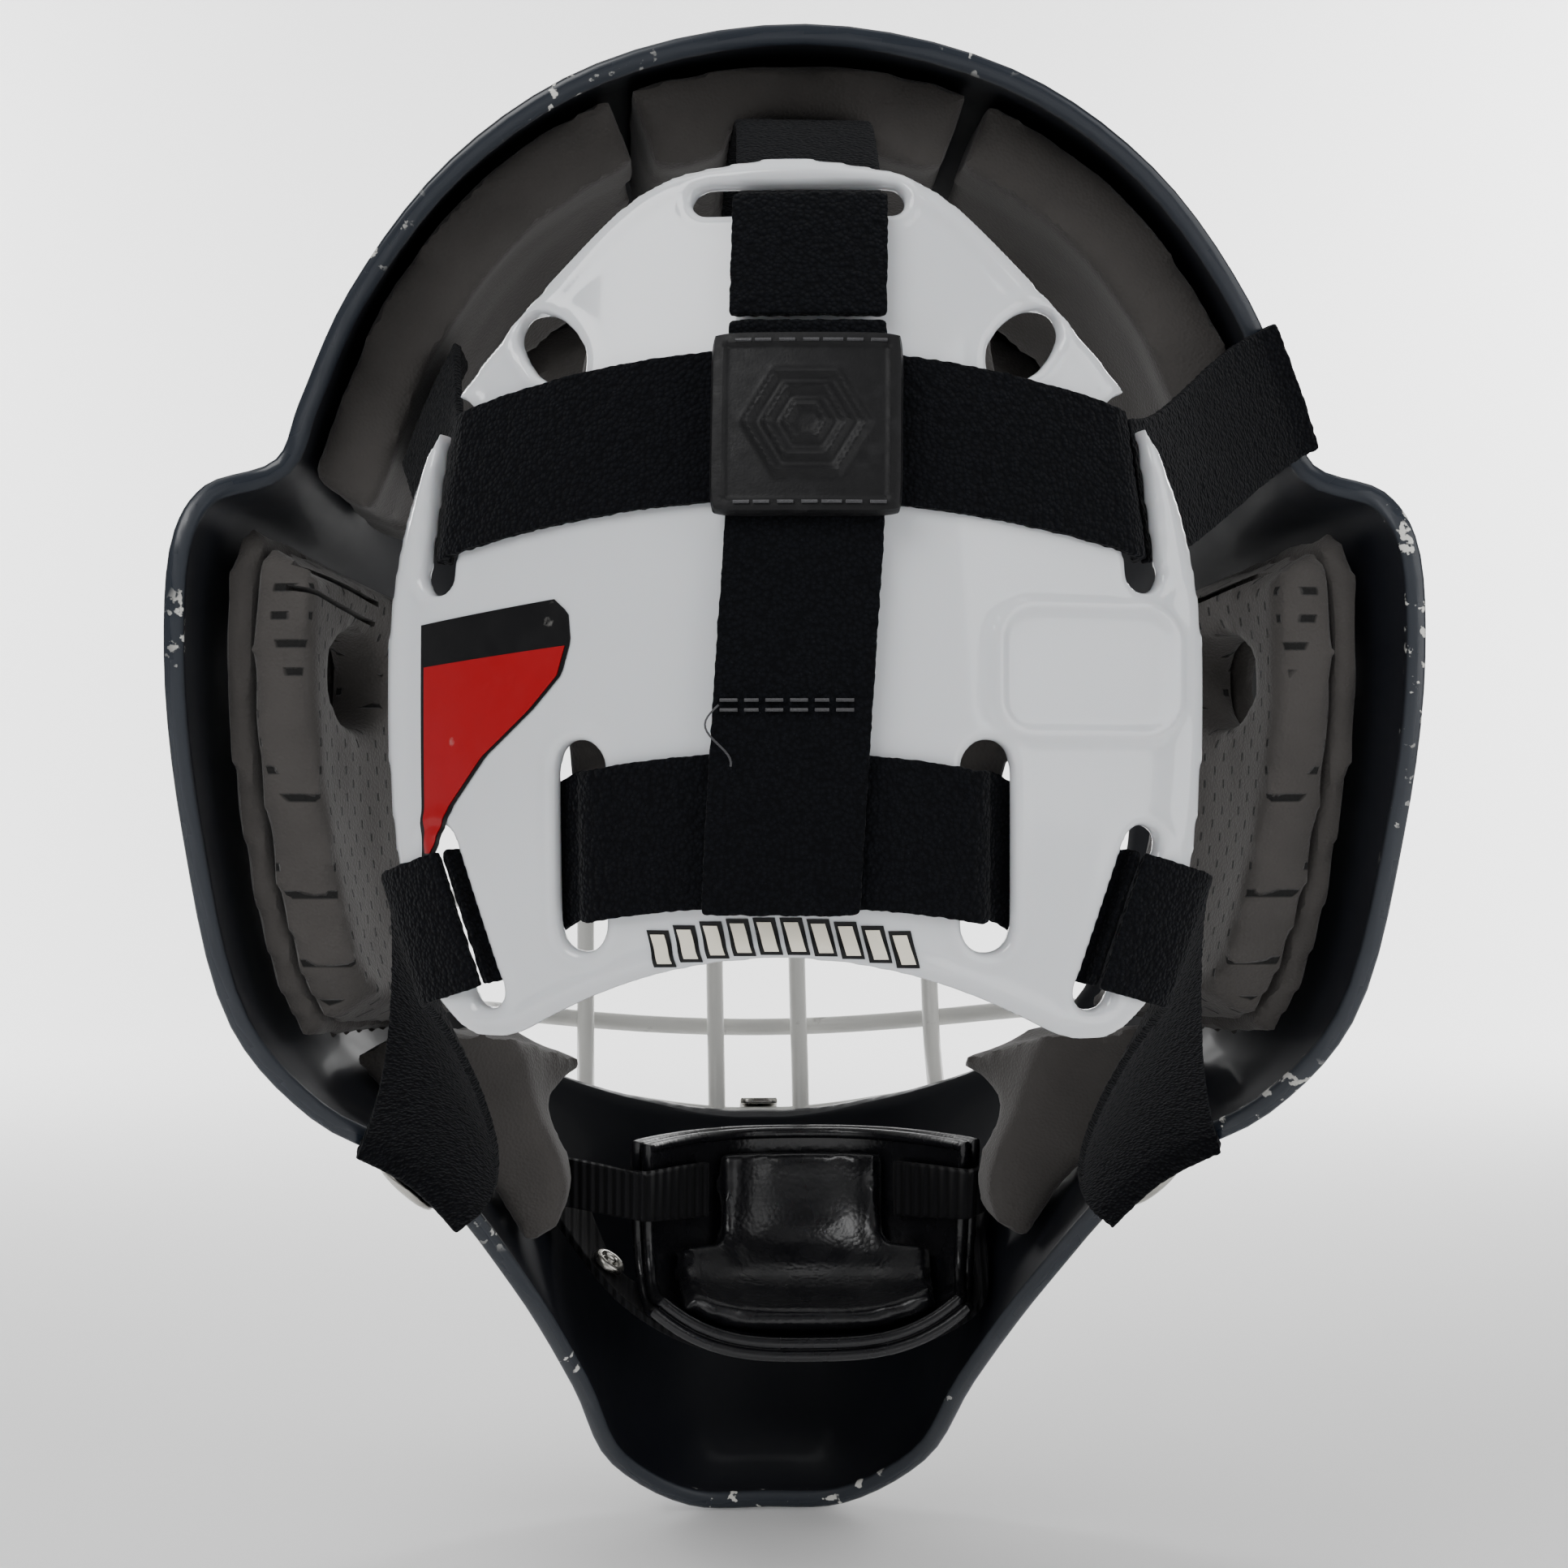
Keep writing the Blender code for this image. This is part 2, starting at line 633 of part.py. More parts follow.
def make_cheek_pads(collection, cutters, material):
    for side, word in ((1, "left"), (-1, "right")):
        ribs = [side * rib for rib in CHEEK_RIBS]
        base = shell_pad("cheek_base_" + word, ribs, (0.42, 0.90), CHEEK_GAP,
                         CHEEK_BASE_DEPTH, collection, material, (8, 4))
        pad = shell_pad("cheek_pad_" + word, ribs, (0.40, 0.91),
                        CHEEK_GAP + CHEEK_BASE_DEPTH + TOUCH, CHEEK_PAD_DEPTH, collection,
                        material, (8, 4))
        hole = drill("ear_hole_" + word, side * 7.9, 0.66, EAR_HOLE_LENGTH / 2, cutters,
                     reach=0.040, sides=16, stretch=EAR_HOLE_HEIGHT / EAR_HOLE_LENGTH)
        cut(base, hole)
        cut(pad, hole)


def make_jaw_pads(collection, material):
    """Lobed pads that start at the face opening and end in a tip by the rear rim."""
    def shape(u, v):
        along = (abs(u) - JAW_RIBS[0]) / (JAW_RIBS[1] - JAW_RIBS[0])
        start = np.interp(along, (0.0, 0.45, 0.68, 1.0), (0.10, 0.14, 0.60, 0.68))
        end = np.interp(along, (0.0, 0.5, 0.75, 1.0), (0.64, 0.70, 0.74, 0.84))
        share = np.interp(along, (0.0, 0.3, 0.5, 0.7, 0.9, 1.0), (0.62, 0.9, 1.0, 0.68, 0.58, 0.3))
        return start, end, share
    for side, word in ((1, "left"), (-1, "right")):
        shell_pad("jaw_pad_" + word, [side * rib for rib in JAW_RIBS], None, FOAM_GAP,
                  JAW_PAD_DEPTH, collection, material, (12, 4), shape)


def make_brow_pads(collection, foam, cloth):
    shell_pad("forehead_pad", (-2.6, 2.6), (0.10, 0.43), FOAM_GAP, BROW_PAD_DEPTH, collection,
              foam, (14, 4))
    shell_pad("sweatband", (-2.3, 2.3), (0.13, 0.34), FOAM_GAP + BROW_PAD_DEPTH + FLAT_ON_ROUND,
              SWEATBAND_DEPTH, collection, cloth, (12, 2))


# ---------------------------------------------------------------- pieces: back plate

def prism(name, outline, collection, low, high):
    """An outline in the plate's x and z, pulled along the plate's y and hung with the plate."""
    work = bmesh.new()
    rings = [[work.verts.new((x, y, z)) for x, z in outline] for y in (low, high)]
    for index in range(len(outline)):
        after = (index + 1) % len(outline)
        work.faces.new((rings[0][index], rings[0][after], rings[1][after], rings[1][index]))
    work.faces.new(rings[0])
    work.faces.new(rings[1])
    thing = link_mesh(name, work, collection)
    thing.matrix_world = plate_matrix()
    return make_cutter(thing)


def slot_outline(start, end, width, sides=5):
    """A slot with round ends between two points, bowed by nothing."""
    start, end = Vector(start), Vector(end)
    along = (end - start).normalized()
    turn = math.atan2(along.y, along.x)
    points = []
    for middle, first in ((end, turn - math.pi / 2), (start, turn + math.pi / 2)):
        for index in range(sides + 1):
            angle = first + math.pi * index / sides
            points.append((middle.x + width / 2 * math.cos(angle),
                           middle.y + width / 2 * math.sin(angle)))
    return points


def upper_slot_x(z):
    return UPPER_SLOT_X * PLATE_HALF_WIDTH / NOMINAL_PLATE.x - (z - UPPER_SLOT_Z) * UPPER_SLOT_LEAN


def lower_slot_points():
    scale = PLATE_HALF_WIDTH / NOMINAL_PLATE.x
    return Vector((0.0618 * scale, -0.0105)), Vector((0.0530 * scale, -0.0365))


def plate_slots():
    """Outlines of the openings on the wearer's left, and of the one in the middle."""
    half = WEB / 2 + 0.0012
    high, low = UPPER_SLOT_Z + half, UPPER_SLOT_Z - half
    upper = slot_outline((upper_slot_x(high), high), (upper_slot_x(low), low), SLOT_WIDTH)
    inner = slot_outline((INNER_SLOT_X, INNER_SLOT_Z + half), (INNER_SLOT_X, INNER_SLOT_Z - half),
                         SLOT_WIDTH + 0.002)
    top_point, low_point = lower_slot_points()
    lower = slot_outline(top_point, low_point, SLOT_WIDTH)
    vent = []
    for index in range(16):
        angle = 2 * math.pi * index / 16
        x = VENT_X + 0.0058 * math.cos(angle) + 0.0028 * math.sin(angle)
        vent.append((x, VENT_Z + 0.0068 * math.sin(angle)))
    pairs = {"upper": upper, "inner": inner, "lower": lower, "vent": vent}
    reach = half + 0.0018
    middle = slot_outline((TOP_SLOT_X + reach, TOP_SLOT_HEIGHT),
                          (TOP_SLOT_X - reach, TOP_SLOT_HEIGHT), SLOT_WIDTH - 0.001)
    return pairs, middle


def plate_outline():
    half = []
    for x, z in PLATE_OUTLINE:
        reach = PLATE_TOP / NOMINAL_PLATE.y if z > 0 else PLATE_FOOT / NOMINAL_PLATE.z
        half.append((x * PLATE_HALF_WIDTH / NOMINAL_PLATE.x / 1000, z * reach / 1000))
    foot = half[-1][0]
    half += [(x, plate_arch(x)) for x in steps(foot * 0.88, 0.0, 6)]
    return half + [(-x, z) for x, z in half[-2:0:-1]]


def make_back_plate(collection, cutters, material):
    top = plate_matrix().inverted()
    xs = [PLATE_RADIUS * 0.93 * math.sin(angle) for angle in steps(-math.pi / 3, math.pi / 3, 18)]
    zs = steps(PLATE_FOOT - 0.012, PLATE_TOP + 0.012, 12)
    rows = [[plate_point(x, z) for x in xs] for z in zs]
    plate = sheet_object("back_plate", rows, PLATE_WALL, collection, material, offset=-1.0)
    plate.data.transform(top)
    plate.matrix_world = plate_matrix()
    deep = PLATE_REACH + 0.03
    cut(plate, prism("plate_outline", plate_outline(), cutters, -deep, deep), "INTERSECT")
    pairs, middle = plate_slots()
    cut(plate, prism("plate_top_slot", middle, cutters, -deep, deep))
    for word, outline in pairs.items():
        other = [(-x, z) for x, z in outline]
        cut(plate, prism(f"plate_{word}_slot_left", outline, cutters, -deep, deep))
        cut(plate, prism(f"plate_{word}_slot_right", other, cutters, -deep, deep))
    return plate


def make_plate_liner(collection, material):
    """Foam inside the plate, clear of the runs of webbing between them."""
    lift = PLATE_WALL + 3 * LAY

    def place(u, v, w):
        half = 0.047 - 0.010 * abs(2 * v - 1)
        return plate_point(u * half, -0.022 + 0.110 * v, -lift - PLATE_LINER_DEPTH * w)
    block_object("plate_liner", place, steps(-1, 1, 8), steps(0, 1, 6), (0, 1), collection, material)


# ---------------------------------------------------------------- pieces: harness

def through_slot():
    """(distance past the slot's middle, height over the plate) of webbing that goes in a slot."""
    return [(-0.0022, LAY), (-0.0002, LAY - 0.0014), (0.0002, BEHIND + 0.0014), (0.0022, BEHIND)]


def upper_band_z(x):
    return 0.0606 - 0.0085 * (x / 0.060) ** 2


def make_upper_band(collection, material):
    rows = []
    offsets = steps(-WEB / 2, WEB / 2, 3)
    for share in steps(-1.0, 1.0, 14):
        row = []
        for offset in offsets:
            z = upper_band_z(0.056 * share) + offset
            x = (upper_slot_x(z) - 0.0045) * share
            row.append(plate_point(x, z, LAY))
        rows.append(row)
    dips = through_slot()
    for side in (1, -1):
        tail = []
        for past, out in dips:
            row = []
            for offset in offsets:
                z = upper_band_z(0.060) + offset
                row.append(plate_point(side * (upper_slot_x(z) + past), z, out))
            tail.append(row)
        rows = rows + tail if side > 0 else tail[::-1] + rows
    sheet_object("upper_strap", rows, WEB_THICKNESS, collection, material)


def lower_band_z(x):
    return -0.0075 - 0.0033 * (x / 0.035) ** 2


def make_lower_band(collection, material):
    """Across the plate, in at the inner slots, behind the plate and out at the lower slots."""
    rows = []
    offsets = steps(-WEB / 2, WEB / 2, 2)
    inner = INNER_SLOT_X
    for share in steps(-1.0, 1.0, 8):
        x = (inner - 0.0045) * share
        rows.append([plate_point(x, lower_band_z(x) + offset, LAY) for offset in offsets])
    top_point, low_point = lower_slot_points()
    for side in (1, -1):
        tail = []
        for past, out in through_slot():
            tail.append([plate_point(side * (inner + past), lower_band_z(inner) + offset, out)
                         for offset in offsets])
        ends = [low_point.lerp(top_point, share) for share in (0.05, 0.5, 0.95)]
        starts = [Vector((inner + 0.002, lower_band_z(inner) + offset)) for offset in offsets]
        for share in (0.4, 0.75):
            spots = [start.lerp(end, share) for start, end in zip(starts, ends)]
            tail.append([plate_point(side * spot.x, spot.y, BEHIND - 0.0005) for spot in spots])
        for past, out in ((-0.0026, BEHIND - 0.0005), (-0.0002, BEHIND + 0.0012), (0.0, LAY - 0.0016)):
            tail.append([plate_point(side * (end.x + past), end.y, out) for end in ends])
        rows = rows + tail if side > 0 else tail[::-1] + rows
    sheet_object("lower_strap", rows, WEB_THICKNESS, collection, material)


def vertical_x(z):
    """Middle of the upright strap, which drifts to the plate's middle below the badge."""
    drift = min(max((0.045 - z) / 0.066, 0.0), 1.0)
    return BADGE_X * (1.0 - drift)


def make_vertical_strap(collection, material):
    over = 3 * LAY
    offsets = steps(-WEB / 2, WEB / 2, 3)
    top = TOP_SLOT_HEIGHT - 0.0035
    fold = BADGE_Z + BADGE_SIZE / 2 + 0.004
    bottom = -0.0215
    upper = [[plate_point(vertical_x(z) + offset, z, over) for offset in offsets]
             for z in steps(fold, top, 5)]
    for past, out in ((-0.0012, 2.6 * LAY), (0.0, LAY - 0.0006), (0.0004, BEHIND + 0.0012)):
        upper.append([plate_point(vertical_x(top) + offset, TOP_SLOT_HEIGHT + past, out)
                      for offset in offsets])
    sheet_object("vertical_strap_upper", upper, WEB_THICKNESS, collection, material)
    lower = [[plate_point(vertical_x(z) + offset, z, over) for offset in offsets]
             for z in steps(bottom, fold - 0.001, 10)]
    sheet_object("vertical_strap_lower", lower, WEB_THICKNESS, collection, material)


def make_badge(collection, material):
    lift = 3 * LAY + WEB_THICKNESS / 2 + TOUCH

    def place(u, v, w):
        x = BADGE_X + u * BADGE_SIZE / 2
        z = BADGE_Z + v * BADGE_SIZE / 2
        return plate_point(x, z, lift + BADGE_THICKNESS * w)
    block_object("badge", place, steps(-1, 1, 4), steps(-1, 1, 4), (0, 1), collection, material)


def make_top_strap(collection, cutters, material):
    """From the plate's top slot forwards under the top pad, and up to the bolt at the crown."""
    x = vertical_x(TOP_SLOT_HEIGHT)
    offsets = steps(-WEB / 2, WEB / 2, 2)
    first = [plate_point(x + offset, TOP_SLOT_HEIGHT + 0.0014, BEHIND - 0.0014) for offset in offsets]
    start = first[1]
    under = FOAM_GAP + TOP_PAD_DEPTH - STRAP_CHANNEL + LAY + WEB_BOW
    channel = [shell_inside(0.0, across, under) for across in (0.93, 0.85, 0.75, 0.66, 0.59)]
    lead = start.lerp(channel[0], 0.4) + Vector((0, 0, 0.006))
    approach = channel[0] + (channel[0] - channel[1]).normalized() * 0.022
    points = [bezier([start, lead, approach, channel[0]], t) for t in steps(0, 1, 6)][1:] + channel[1:]
    points += [shell_inside(0.0, 0.565, 0.75 * under), shell_inside(0.0, 0.545, 0.42 * under)]
    points += [shell_inside(0.0, across, LAY + WEB_BOW) for across in (0.525, 0.49, 0.455)]
    rows = [first]
    for point in points:
        rows.append([point + Vector((offset, 0, 0)) for offset in offsets])
    strap = sheet_object("top_strap", rows, WEB_THICKNESS, collection, material)
    point, _, normal = shell_frame(0.0, CROWN_BOLT_ACROSS)
    cut(strap, bore_cutter("top_strap_hole", facing(point, normal), BOLT_RADIUS + TOUCH,
                           -0.012, 0.004, cutters))


def bolt_places():
    upper = sum(UPPER_RIM_RIBS) / 2
    lower = sum(LOWER_RIM_RIBS) / 2
    return [("crown", 0.0, CROWN_BOLT_ACROSS), ("upper_right", -upper, 0.84),
            ("lower_left", lower, 0.84), ("lower_right", -lower, 0.84)]


def bezier(points, t):
    while len(points) > 1:
        points = [a.lerp(b, t) for a, b in zip(points, points[1:])]
    return points[0]


def rim_strap(name, starts, leads, ribs, side, collection, cutters, material):
    """Webbing from the plate to the shell's rear rim, round it and forward along the outside.
    starts lists, across its width, the points that it leaves the plate by, and leads which way."""
    columns = []
    for index, (start, lead) in enumerate(zip(starts, leads)):
        rib = side * (ribs[0] + (ribs[1] - ribs[0]) * index / (len(starts) - 1))
        turn = [shell_point(rib, 1.0, -SHELL_WALL, 0.0035 + LAY),
                shell_point(rib, 1.0, -SHELL_WALL / 2, LAY + 0.0012),
                shell_point(rib, 1.0, LAY + FLAT_ON_ROUND, LAY * 0.6)]
        turn += [shell_point(rib, across, LAY + FLAT_ON_ROUND)
                 for across in (0.96, 0.92, 0.87, 0.82, STRAP_END_ACROSS)]
        approach = turn[0] + (turn[0] - turn[1]).normalized() * 0.020
        run = [bezier([start[-1], lead, approach, turn[0]], t) for t in steps(0, 1, 8)]
        columns.append(start[:-1] + run + turn[1:])
    rows = list(zip(*columns))
    strap = sheet_object(name, rows, WEB_THICKNESS, collection, material)
    point, _, normal = shell_frame(side * sum(ribs) / 2, 0.84)
    cut(strap, bore_cutter(name + "_hole", facing(point, normal), BOLT_RADIUS + TOUCH,
                           -0.004, 0.008, cutters))


def make_upper_right(collection, cutters, material):
    starts, leads = [], []
    for offset in steps(WEB / 2, -WEB / 2, 4):
        z = upper_band_z(0.060) + offset
        starts.append([plate_point(-upper_slot_x(z) - 0.0034, z, BEHIND)])
        leads.append(plate_point(-upper_slot_x(z) - 0.016, z, BEHIND - 0.006))
    rim_strap("upper_strap_right", starts, leads, UPPER_RIM_RIBS, -1, collection, cutters, material)


def make_upper_left(collection, material):
    """The wearer's left upper run is tucked into the shell beside the temple pad."""
    depth = FOAM_GAP + TEMPLE_PAD_DEPTH + 0.003
    columns = []
    for index, offset in enumerate(steps(WEB / 2, -WEB / 2, 3)):
        z = upper_band_z(0.060) + offset
        start = plate_point(upper_slot_x(z) + 0.0034, z, BEHIND)
        lead = plate_point(upper_slot_x(z) + 0.012, z, BEHIND - 0.008)
        rib = 2.9 + 1.5 * index / 3
        ends = [shell_inside(rib, across, depth) for across in (0.97, 0.90, 0.83, 0.76)]
        approach = ends[0] + (ends[0] - ends[1]).normalized() * 0.020
        run = [bezier([start, lead, approach, ends[0]], t) for t in steps(0, 1, 6)]
        columns.append(run + ends[1:])
    sheet_object("upper_strap_left", list(zip(*columns)), WEB_THICKNESS, collection, material)


def make_lower_runs(collection, cutters, material):
    top_point, low_point = lower_slot_points()
    for side, word in ((1, "left"), (-1, "right")):
        starts, leads = [], []
        slot = (top_point - low_point).normalized()
        outwards = Vector((slot.y, -slot.x))
        for share in steps(0.95, 0.05, 4):
            spot = low_point.lerp(top_point, share)
            run = []
            for past, out in ((0.0005, LAY - 0.0009), (0.0025, LAY), (EDGE_RUN, LAY + TOUCH),
                              (EDGE_RUN + 0.0030, LAY - 0.0018)):
                along = spot + outwards * past
                run.append(plate_point(side * along.x, along.y, out))
            starts.append(run)
            along = spot + outwards * (EDGE_RUN + 0.0070)
            leads.append(plate_point(side * along.x, along.y, -0.008))
        rim_strap("lower_strap_" + word, starts, leads, LOWER_RIM_RIBS, side, collection, cutters,
                  material)


def make_bolt(word, rib, across, collection, material):
    point, _, normal = shell_frame(rib, across)
    seat = TOUCH if word == "crown" else FLAT_ON_ROUND + 2 * LAY + TOUCH
    end = -SHELL_WALL - (2 * LAY + WEB_BOW if word == "crown" else -TOUCH)
    sections = [(end, BOLT_RADIUS), (seat, BOLT_RADIUS), (seat, BOLT_HEAD_RADIUS),
                (seat + BOLT_HEAD_HEIGHT * 0.5, BOLT_HEAD_RADIUS),
                (seat + BOLT_HEAD_HEIGHT, BOLT_HEAD_RADIUS * 0.55)]
    turned("strap_bolt_" + word, point, normal, sections, collection, material, 16)


# ---------------------------------------------------------------- pieces: chin cup

# Middle section of the cup's outer face, as handles: y and z from its top edge to its back lip
CUP_PROFILE = ((-0.1155, -0.081), (-0.1185, -0.108), (-0.107, -0.1265), (-0.070, -0.1265))
CUP_COLUMNS = 12
CUP_ROWS = 10
CUP_LAYERS = CUP_WALL + FLAT_ON_ROUND
NOTCH_FROM = 0.6        # across half the cup, where the notch in its liner starts
NOTCH_DEPTH = 0.34      # of the way down the cup


def bare_cup(u, v):
    tall = SHELL_HEIGHT / (NOMINAL.z / 1000)
    section = bezier([Vector((0, y, z * tall)) for y, z in CUP_PROFILE], v)
    wrap = CUP_WRAP * abs(u) ** 2.6 * (1 - v) ** 0.8
    rise = 0.010 * abs(u) ** 3 * v
    narrow = 1.0 - 0.10 * v * v
    return section + Vector((CUP_SHIFT + CUP_HALF_WIDTH * u * narrow, wrap, rise))


def cup_point(u, v, inside=0.0):
    """A point of the chin cup: u from right to left, v from the top to the back lip, and how far
    inside its outer face."""
    step = 0.02
    near, far = max(v - step, 0.0), min(v + step, 1.0)
    sideways = bare_cup(u + step, v) - bare_cup(u - step, v)
    down = bare_cup(u, far) - bare_cup(u, near)
    return bare_cup(u, v) + sideways.cross(down).normalized() * inside


def cup_face(inside, us, vs):
    return [[cup_point(u, v, inside) for u in us] for v in vs]


def chin_anchor(side):
    return shell_frame(side * CHIN_ANCHOR_RIB, CHIN_ANCHOR_ACROSS)


def make_snap(rows, collection, material):
    """A snap on the sling's inner face, at the middle one of three of its rows."""
    before, spot, after = [sum(row, Vector()) / len(row) for row in rows]
    face = (after - before).cross(rows[1][-1] - rows[1][0]).normalized()
    if face.dot(Vector((-1, 0.4, 0.8))) < 0:
        face = -face
    turned("chin_snap", spot + face * (WEB_THICKNESS / 2 + FLAT_ON_ROUND), face,
           [(0.0, 0.0038), (0.0012, 0.0038), (0.0018, 0.0024)], collection, material, 16)


def make_cup_bands(collection, web, steel):
    """A sling under the cup from anchor to anchor, with a snap on its left, and a strap from
    the shell into the notch at each top corner."""
    below = -LAY - FLAT_ON_ROUND
    sixths = steps(-1.0, 1.0, CUP_COLUMNS)
    sling_vs = (0.6, 0.7, 0.8, 0.9)
    sling = cup_face(below, sixths, sling_vs)
    columns = list(zip(*sling))
    for side in (1, -1):
        point, rearward, normal = chin_anchor(side)
        hub = point - normal * (SHELL_WALL + FLAT_ON_ROUND)
        word = "left" if side > 0 else "right"
        turned("chin_anchor_" + word, hub, -normal,
               [(0.0, 0.0060), (0.0012, 0.0060), (0.0018, 0.0040)], collection, steel, 16)
        middle = hub - normal * (0.0018 + TOUCH + LAY)
        ends = [middle + rearward * CHIN_WEB * share for share in (-0.5, -1 / 6, 1 / 6, 0.5)]
        down = rearward.cross(normal) * side
        edge = columns[-1] if side > 0 else columns[0]
        before = columns[-2] if side > 0 else columns[1]
        free = []
        for t in steps(0.0, 1.0, 5)[1:]:
            row = []
            for end, last, previous in zip(ends, edge, before):
                pull = (end - last).length * 0.3
                lead = last + (last - previous).normalized() * pull
                hang = end + down * pull - normal * SLING_LIFT
                row.append(bezier([last, lead, hang, end], t))
            free.append(row)
        columns = columns + free if side > 0 else free[::-1] + columns
        if side > 0:
            make_snap(free[SNAP_ROW - 1:SNAP_ROW + 2], collection, steel)
        root = shell_inside(side * CHIN_STRAP_RIB, CHIN_STRAP_ACROSS, 3 * FLAT_ON_ROUND + LAY)
        rows = [[root + Vector((0, 0, CHIN_STRAP_WIDTH * share)) for share in (0.5, 0.0, -0.5)]]
        for u in (1.08, 1.0, 0.92, 0.84, 0.75, 0.66):
            rows.append([cup_point(side * u, v, CUP_LAYERS + LAY) for v in (0.07, 0.17, 0.27)])
        sheet_object("chin_strap_" + word, rows, WEB_THICKNESS, collection, web)
    sheet_object("chin_sling", columns, WEB_THICKNESS, collection, web)


def make_chin_cup(collection, vinyl, foam):
    us = steps(-1.0, 1.0, CUP_COLUMNS)
    vs = steps(0.0, 1.0, CUP_ROWS)
    sheet_object("chin_cup", cup_face(CUP_WALL / 2, us, vs), CUP_WALL, collection, vinyl)
    liner_us = [0.88 * u for u in us]
    liner_vs = [0.05 + 0.90 * v for v in vs]

    def clear_of_notch(row, column):
        beside = abs(liner_us[column] + liner_us[column + 1]) / 2
        return beside < NOTCH_FROM or liner_vs[row] > NOTCH_DEPTH
    sheet_object("chin_cup_liner", cup_face(CUP_LAYERS + CUP_LINER / 2, liner_us, liner_vs),
                 CUP_LINER, collection, foam, kept=clear_of_notch)


# ---------------------------------------------------------------- the mask

def hang(name, frame, moving, collection):
    """Parents the moving pieces to an empty on their hinge's axis."""
    hinge = bpy.data.objects.new(name, None)
    hinge.empty_display_size = 0.02
    hinge.matrix_world = frame
    collection.objects.link(hinge)
    for piece in moving:
        thing = bpy.data.objects[piece]
        thing.parent = hinge
        thing.matrix_parent_inverse = frame.inverted()


def hang_moving_pieces(collection):
    """The back plate swings at its top slot and the chin cup between its anchors, both about x."""
    slot = plate_matrix()
    slot.translation = plate_point(0.0, TOP_SLOT_HEIGHT)
    plate_pieces = ("back_plate", "plate_liner", "upper_strap", "lower_strap", "badge",
                    "vertical_strap_upper", "vertical_strap_lower")
    hang("back_plate_hinge", slot, plate_pieces, collection)
    anchor = chin_anchor(1)[0]
    cup_pieces = ("chin_cup", "chin_cup_liner", "chin_sling", "chin_snap")
    hang("chin_cup_hinge", Matrix.Translation((0, anchor.y, anchor.z)), cup_pieces, collection)


def main():
    clear_scene()
    mask = new_collection("goalie_mask")
    shell_holes = new_collection("shell_holes", hidden=True)
    cutters = new_collection("cutters", hidden=True)

    shell_plastic = finish_material("shell_paint", (0.010, 0.012, 0.020), 0.30)
    wire_paint = finish_material("cage_paint", (0.80, 0.80, 0.80), 0.35)
    foam = finish_material("foam", (0.075, 0.068, 0.064), 0.85)
    plate_plastic = finish_material("plate_plastic", (0.86, 0.87, 0.88), 0.12)
    webbing = finish_material("webbing", (0.010, 0.010, 0.012), 0.95)
    rubber = finish_material("badge_rubber", (0.012, 0.012, 0.013), 0.55)
    vinyl = finish_material("chin_vinyl", (0.012, 0.012, 0.013), 0.30)
    steel = finish_material("steel", (0.60, 0.60, 0.60), 0.28, 1.0)

    make_shell_holes(shell_holes)
    make_shell(mask, shell_holes, shell_plastic)
    make_cage(mask, cutters, wire_paint)
    for word, rib in clip_places():
        make_clip(word, rib, mask, cutters, steel)
        make_clip_screw(word, rib, mask, steel)
        make_nut("cage_nut_" + word, rib, clip_across(rib), mask, steel)

    make_top_pad(mask, foam)
    make_temple_pads(mask, foam)
    make_cheek_pads(mask, cutters, foam)
    make_jaw_pads(mask, foam)
    make_brow_pads(mask, foam, webbing)

    make_back_plate(mask, cutters, plate_plastic)
    make_plate_liner(mask, foam)

    make_upper_band(mask, webbing)
    make_lower_band(mask, webbing)
    make_vertical_strap(mask, webbing)
    make_badge(mask, rubber)
    make_top_strap(mask, cutters, webbing)
    make_upper_right(mask, cutters, webbing)
    make_upper_left(mask, webbing)
    make_lower_runs(mask, cutters, webbing)
    for word, rib, across in bolt_places():
        make_bolt(word, rib, across, mask, steel)
        under = 2 * LAY + WEB_BOW if word == "crown" else 0.0
        make_nut("strap_nut_" + word, rib, across, mask, steel, under)

    make_chin_cup(mask, vinyl, foam)
    make_cup_bands(mask, webbing, steel)
    hang_moving_pieces(mask)


main()
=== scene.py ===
"""Ice hockey goalie mask, seen open side on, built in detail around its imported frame.

The shell is a loft over ribs that run round each half from the crown to the chin, the back
plate is a bowed sheet with slots, and the harness, foam and chin cup lie on those two surfaces.
Every place comes from the frame or from the same surfaces. Lengths are in metres.
"""

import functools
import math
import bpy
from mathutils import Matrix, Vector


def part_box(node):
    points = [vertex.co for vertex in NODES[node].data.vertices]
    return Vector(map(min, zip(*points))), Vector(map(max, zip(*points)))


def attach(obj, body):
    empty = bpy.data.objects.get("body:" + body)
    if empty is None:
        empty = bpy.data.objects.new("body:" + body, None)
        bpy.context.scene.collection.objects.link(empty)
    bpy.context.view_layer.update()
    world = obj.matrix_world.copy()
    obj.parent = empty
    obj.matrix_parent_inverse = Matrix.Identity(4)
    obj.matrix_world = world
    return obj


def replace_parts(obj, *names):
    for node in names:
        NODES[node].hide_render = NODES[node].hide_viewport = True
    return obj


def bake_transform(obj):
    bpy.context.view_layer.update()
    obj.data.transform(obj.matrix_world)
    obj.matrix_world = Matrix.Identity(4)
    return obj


bl_info = {
    "name": "Goalie Mask",
    "version": (1, 0, 0),
    "blender": (4, 5, 0),
    "location": "3D View > Sidebar > Goalie Mask",
    "description": "Builds a detailed goalie mask around its packed frame",
    "category": "Object",
}

import bmesh
import bpy
import numpy as np
from bpy.props import FloatProperty, FloatVectorProperty, IntProperty, PointerProperty
from mathutils import Matrix, Vector, noise
from mathutils.kdtree import KDTree

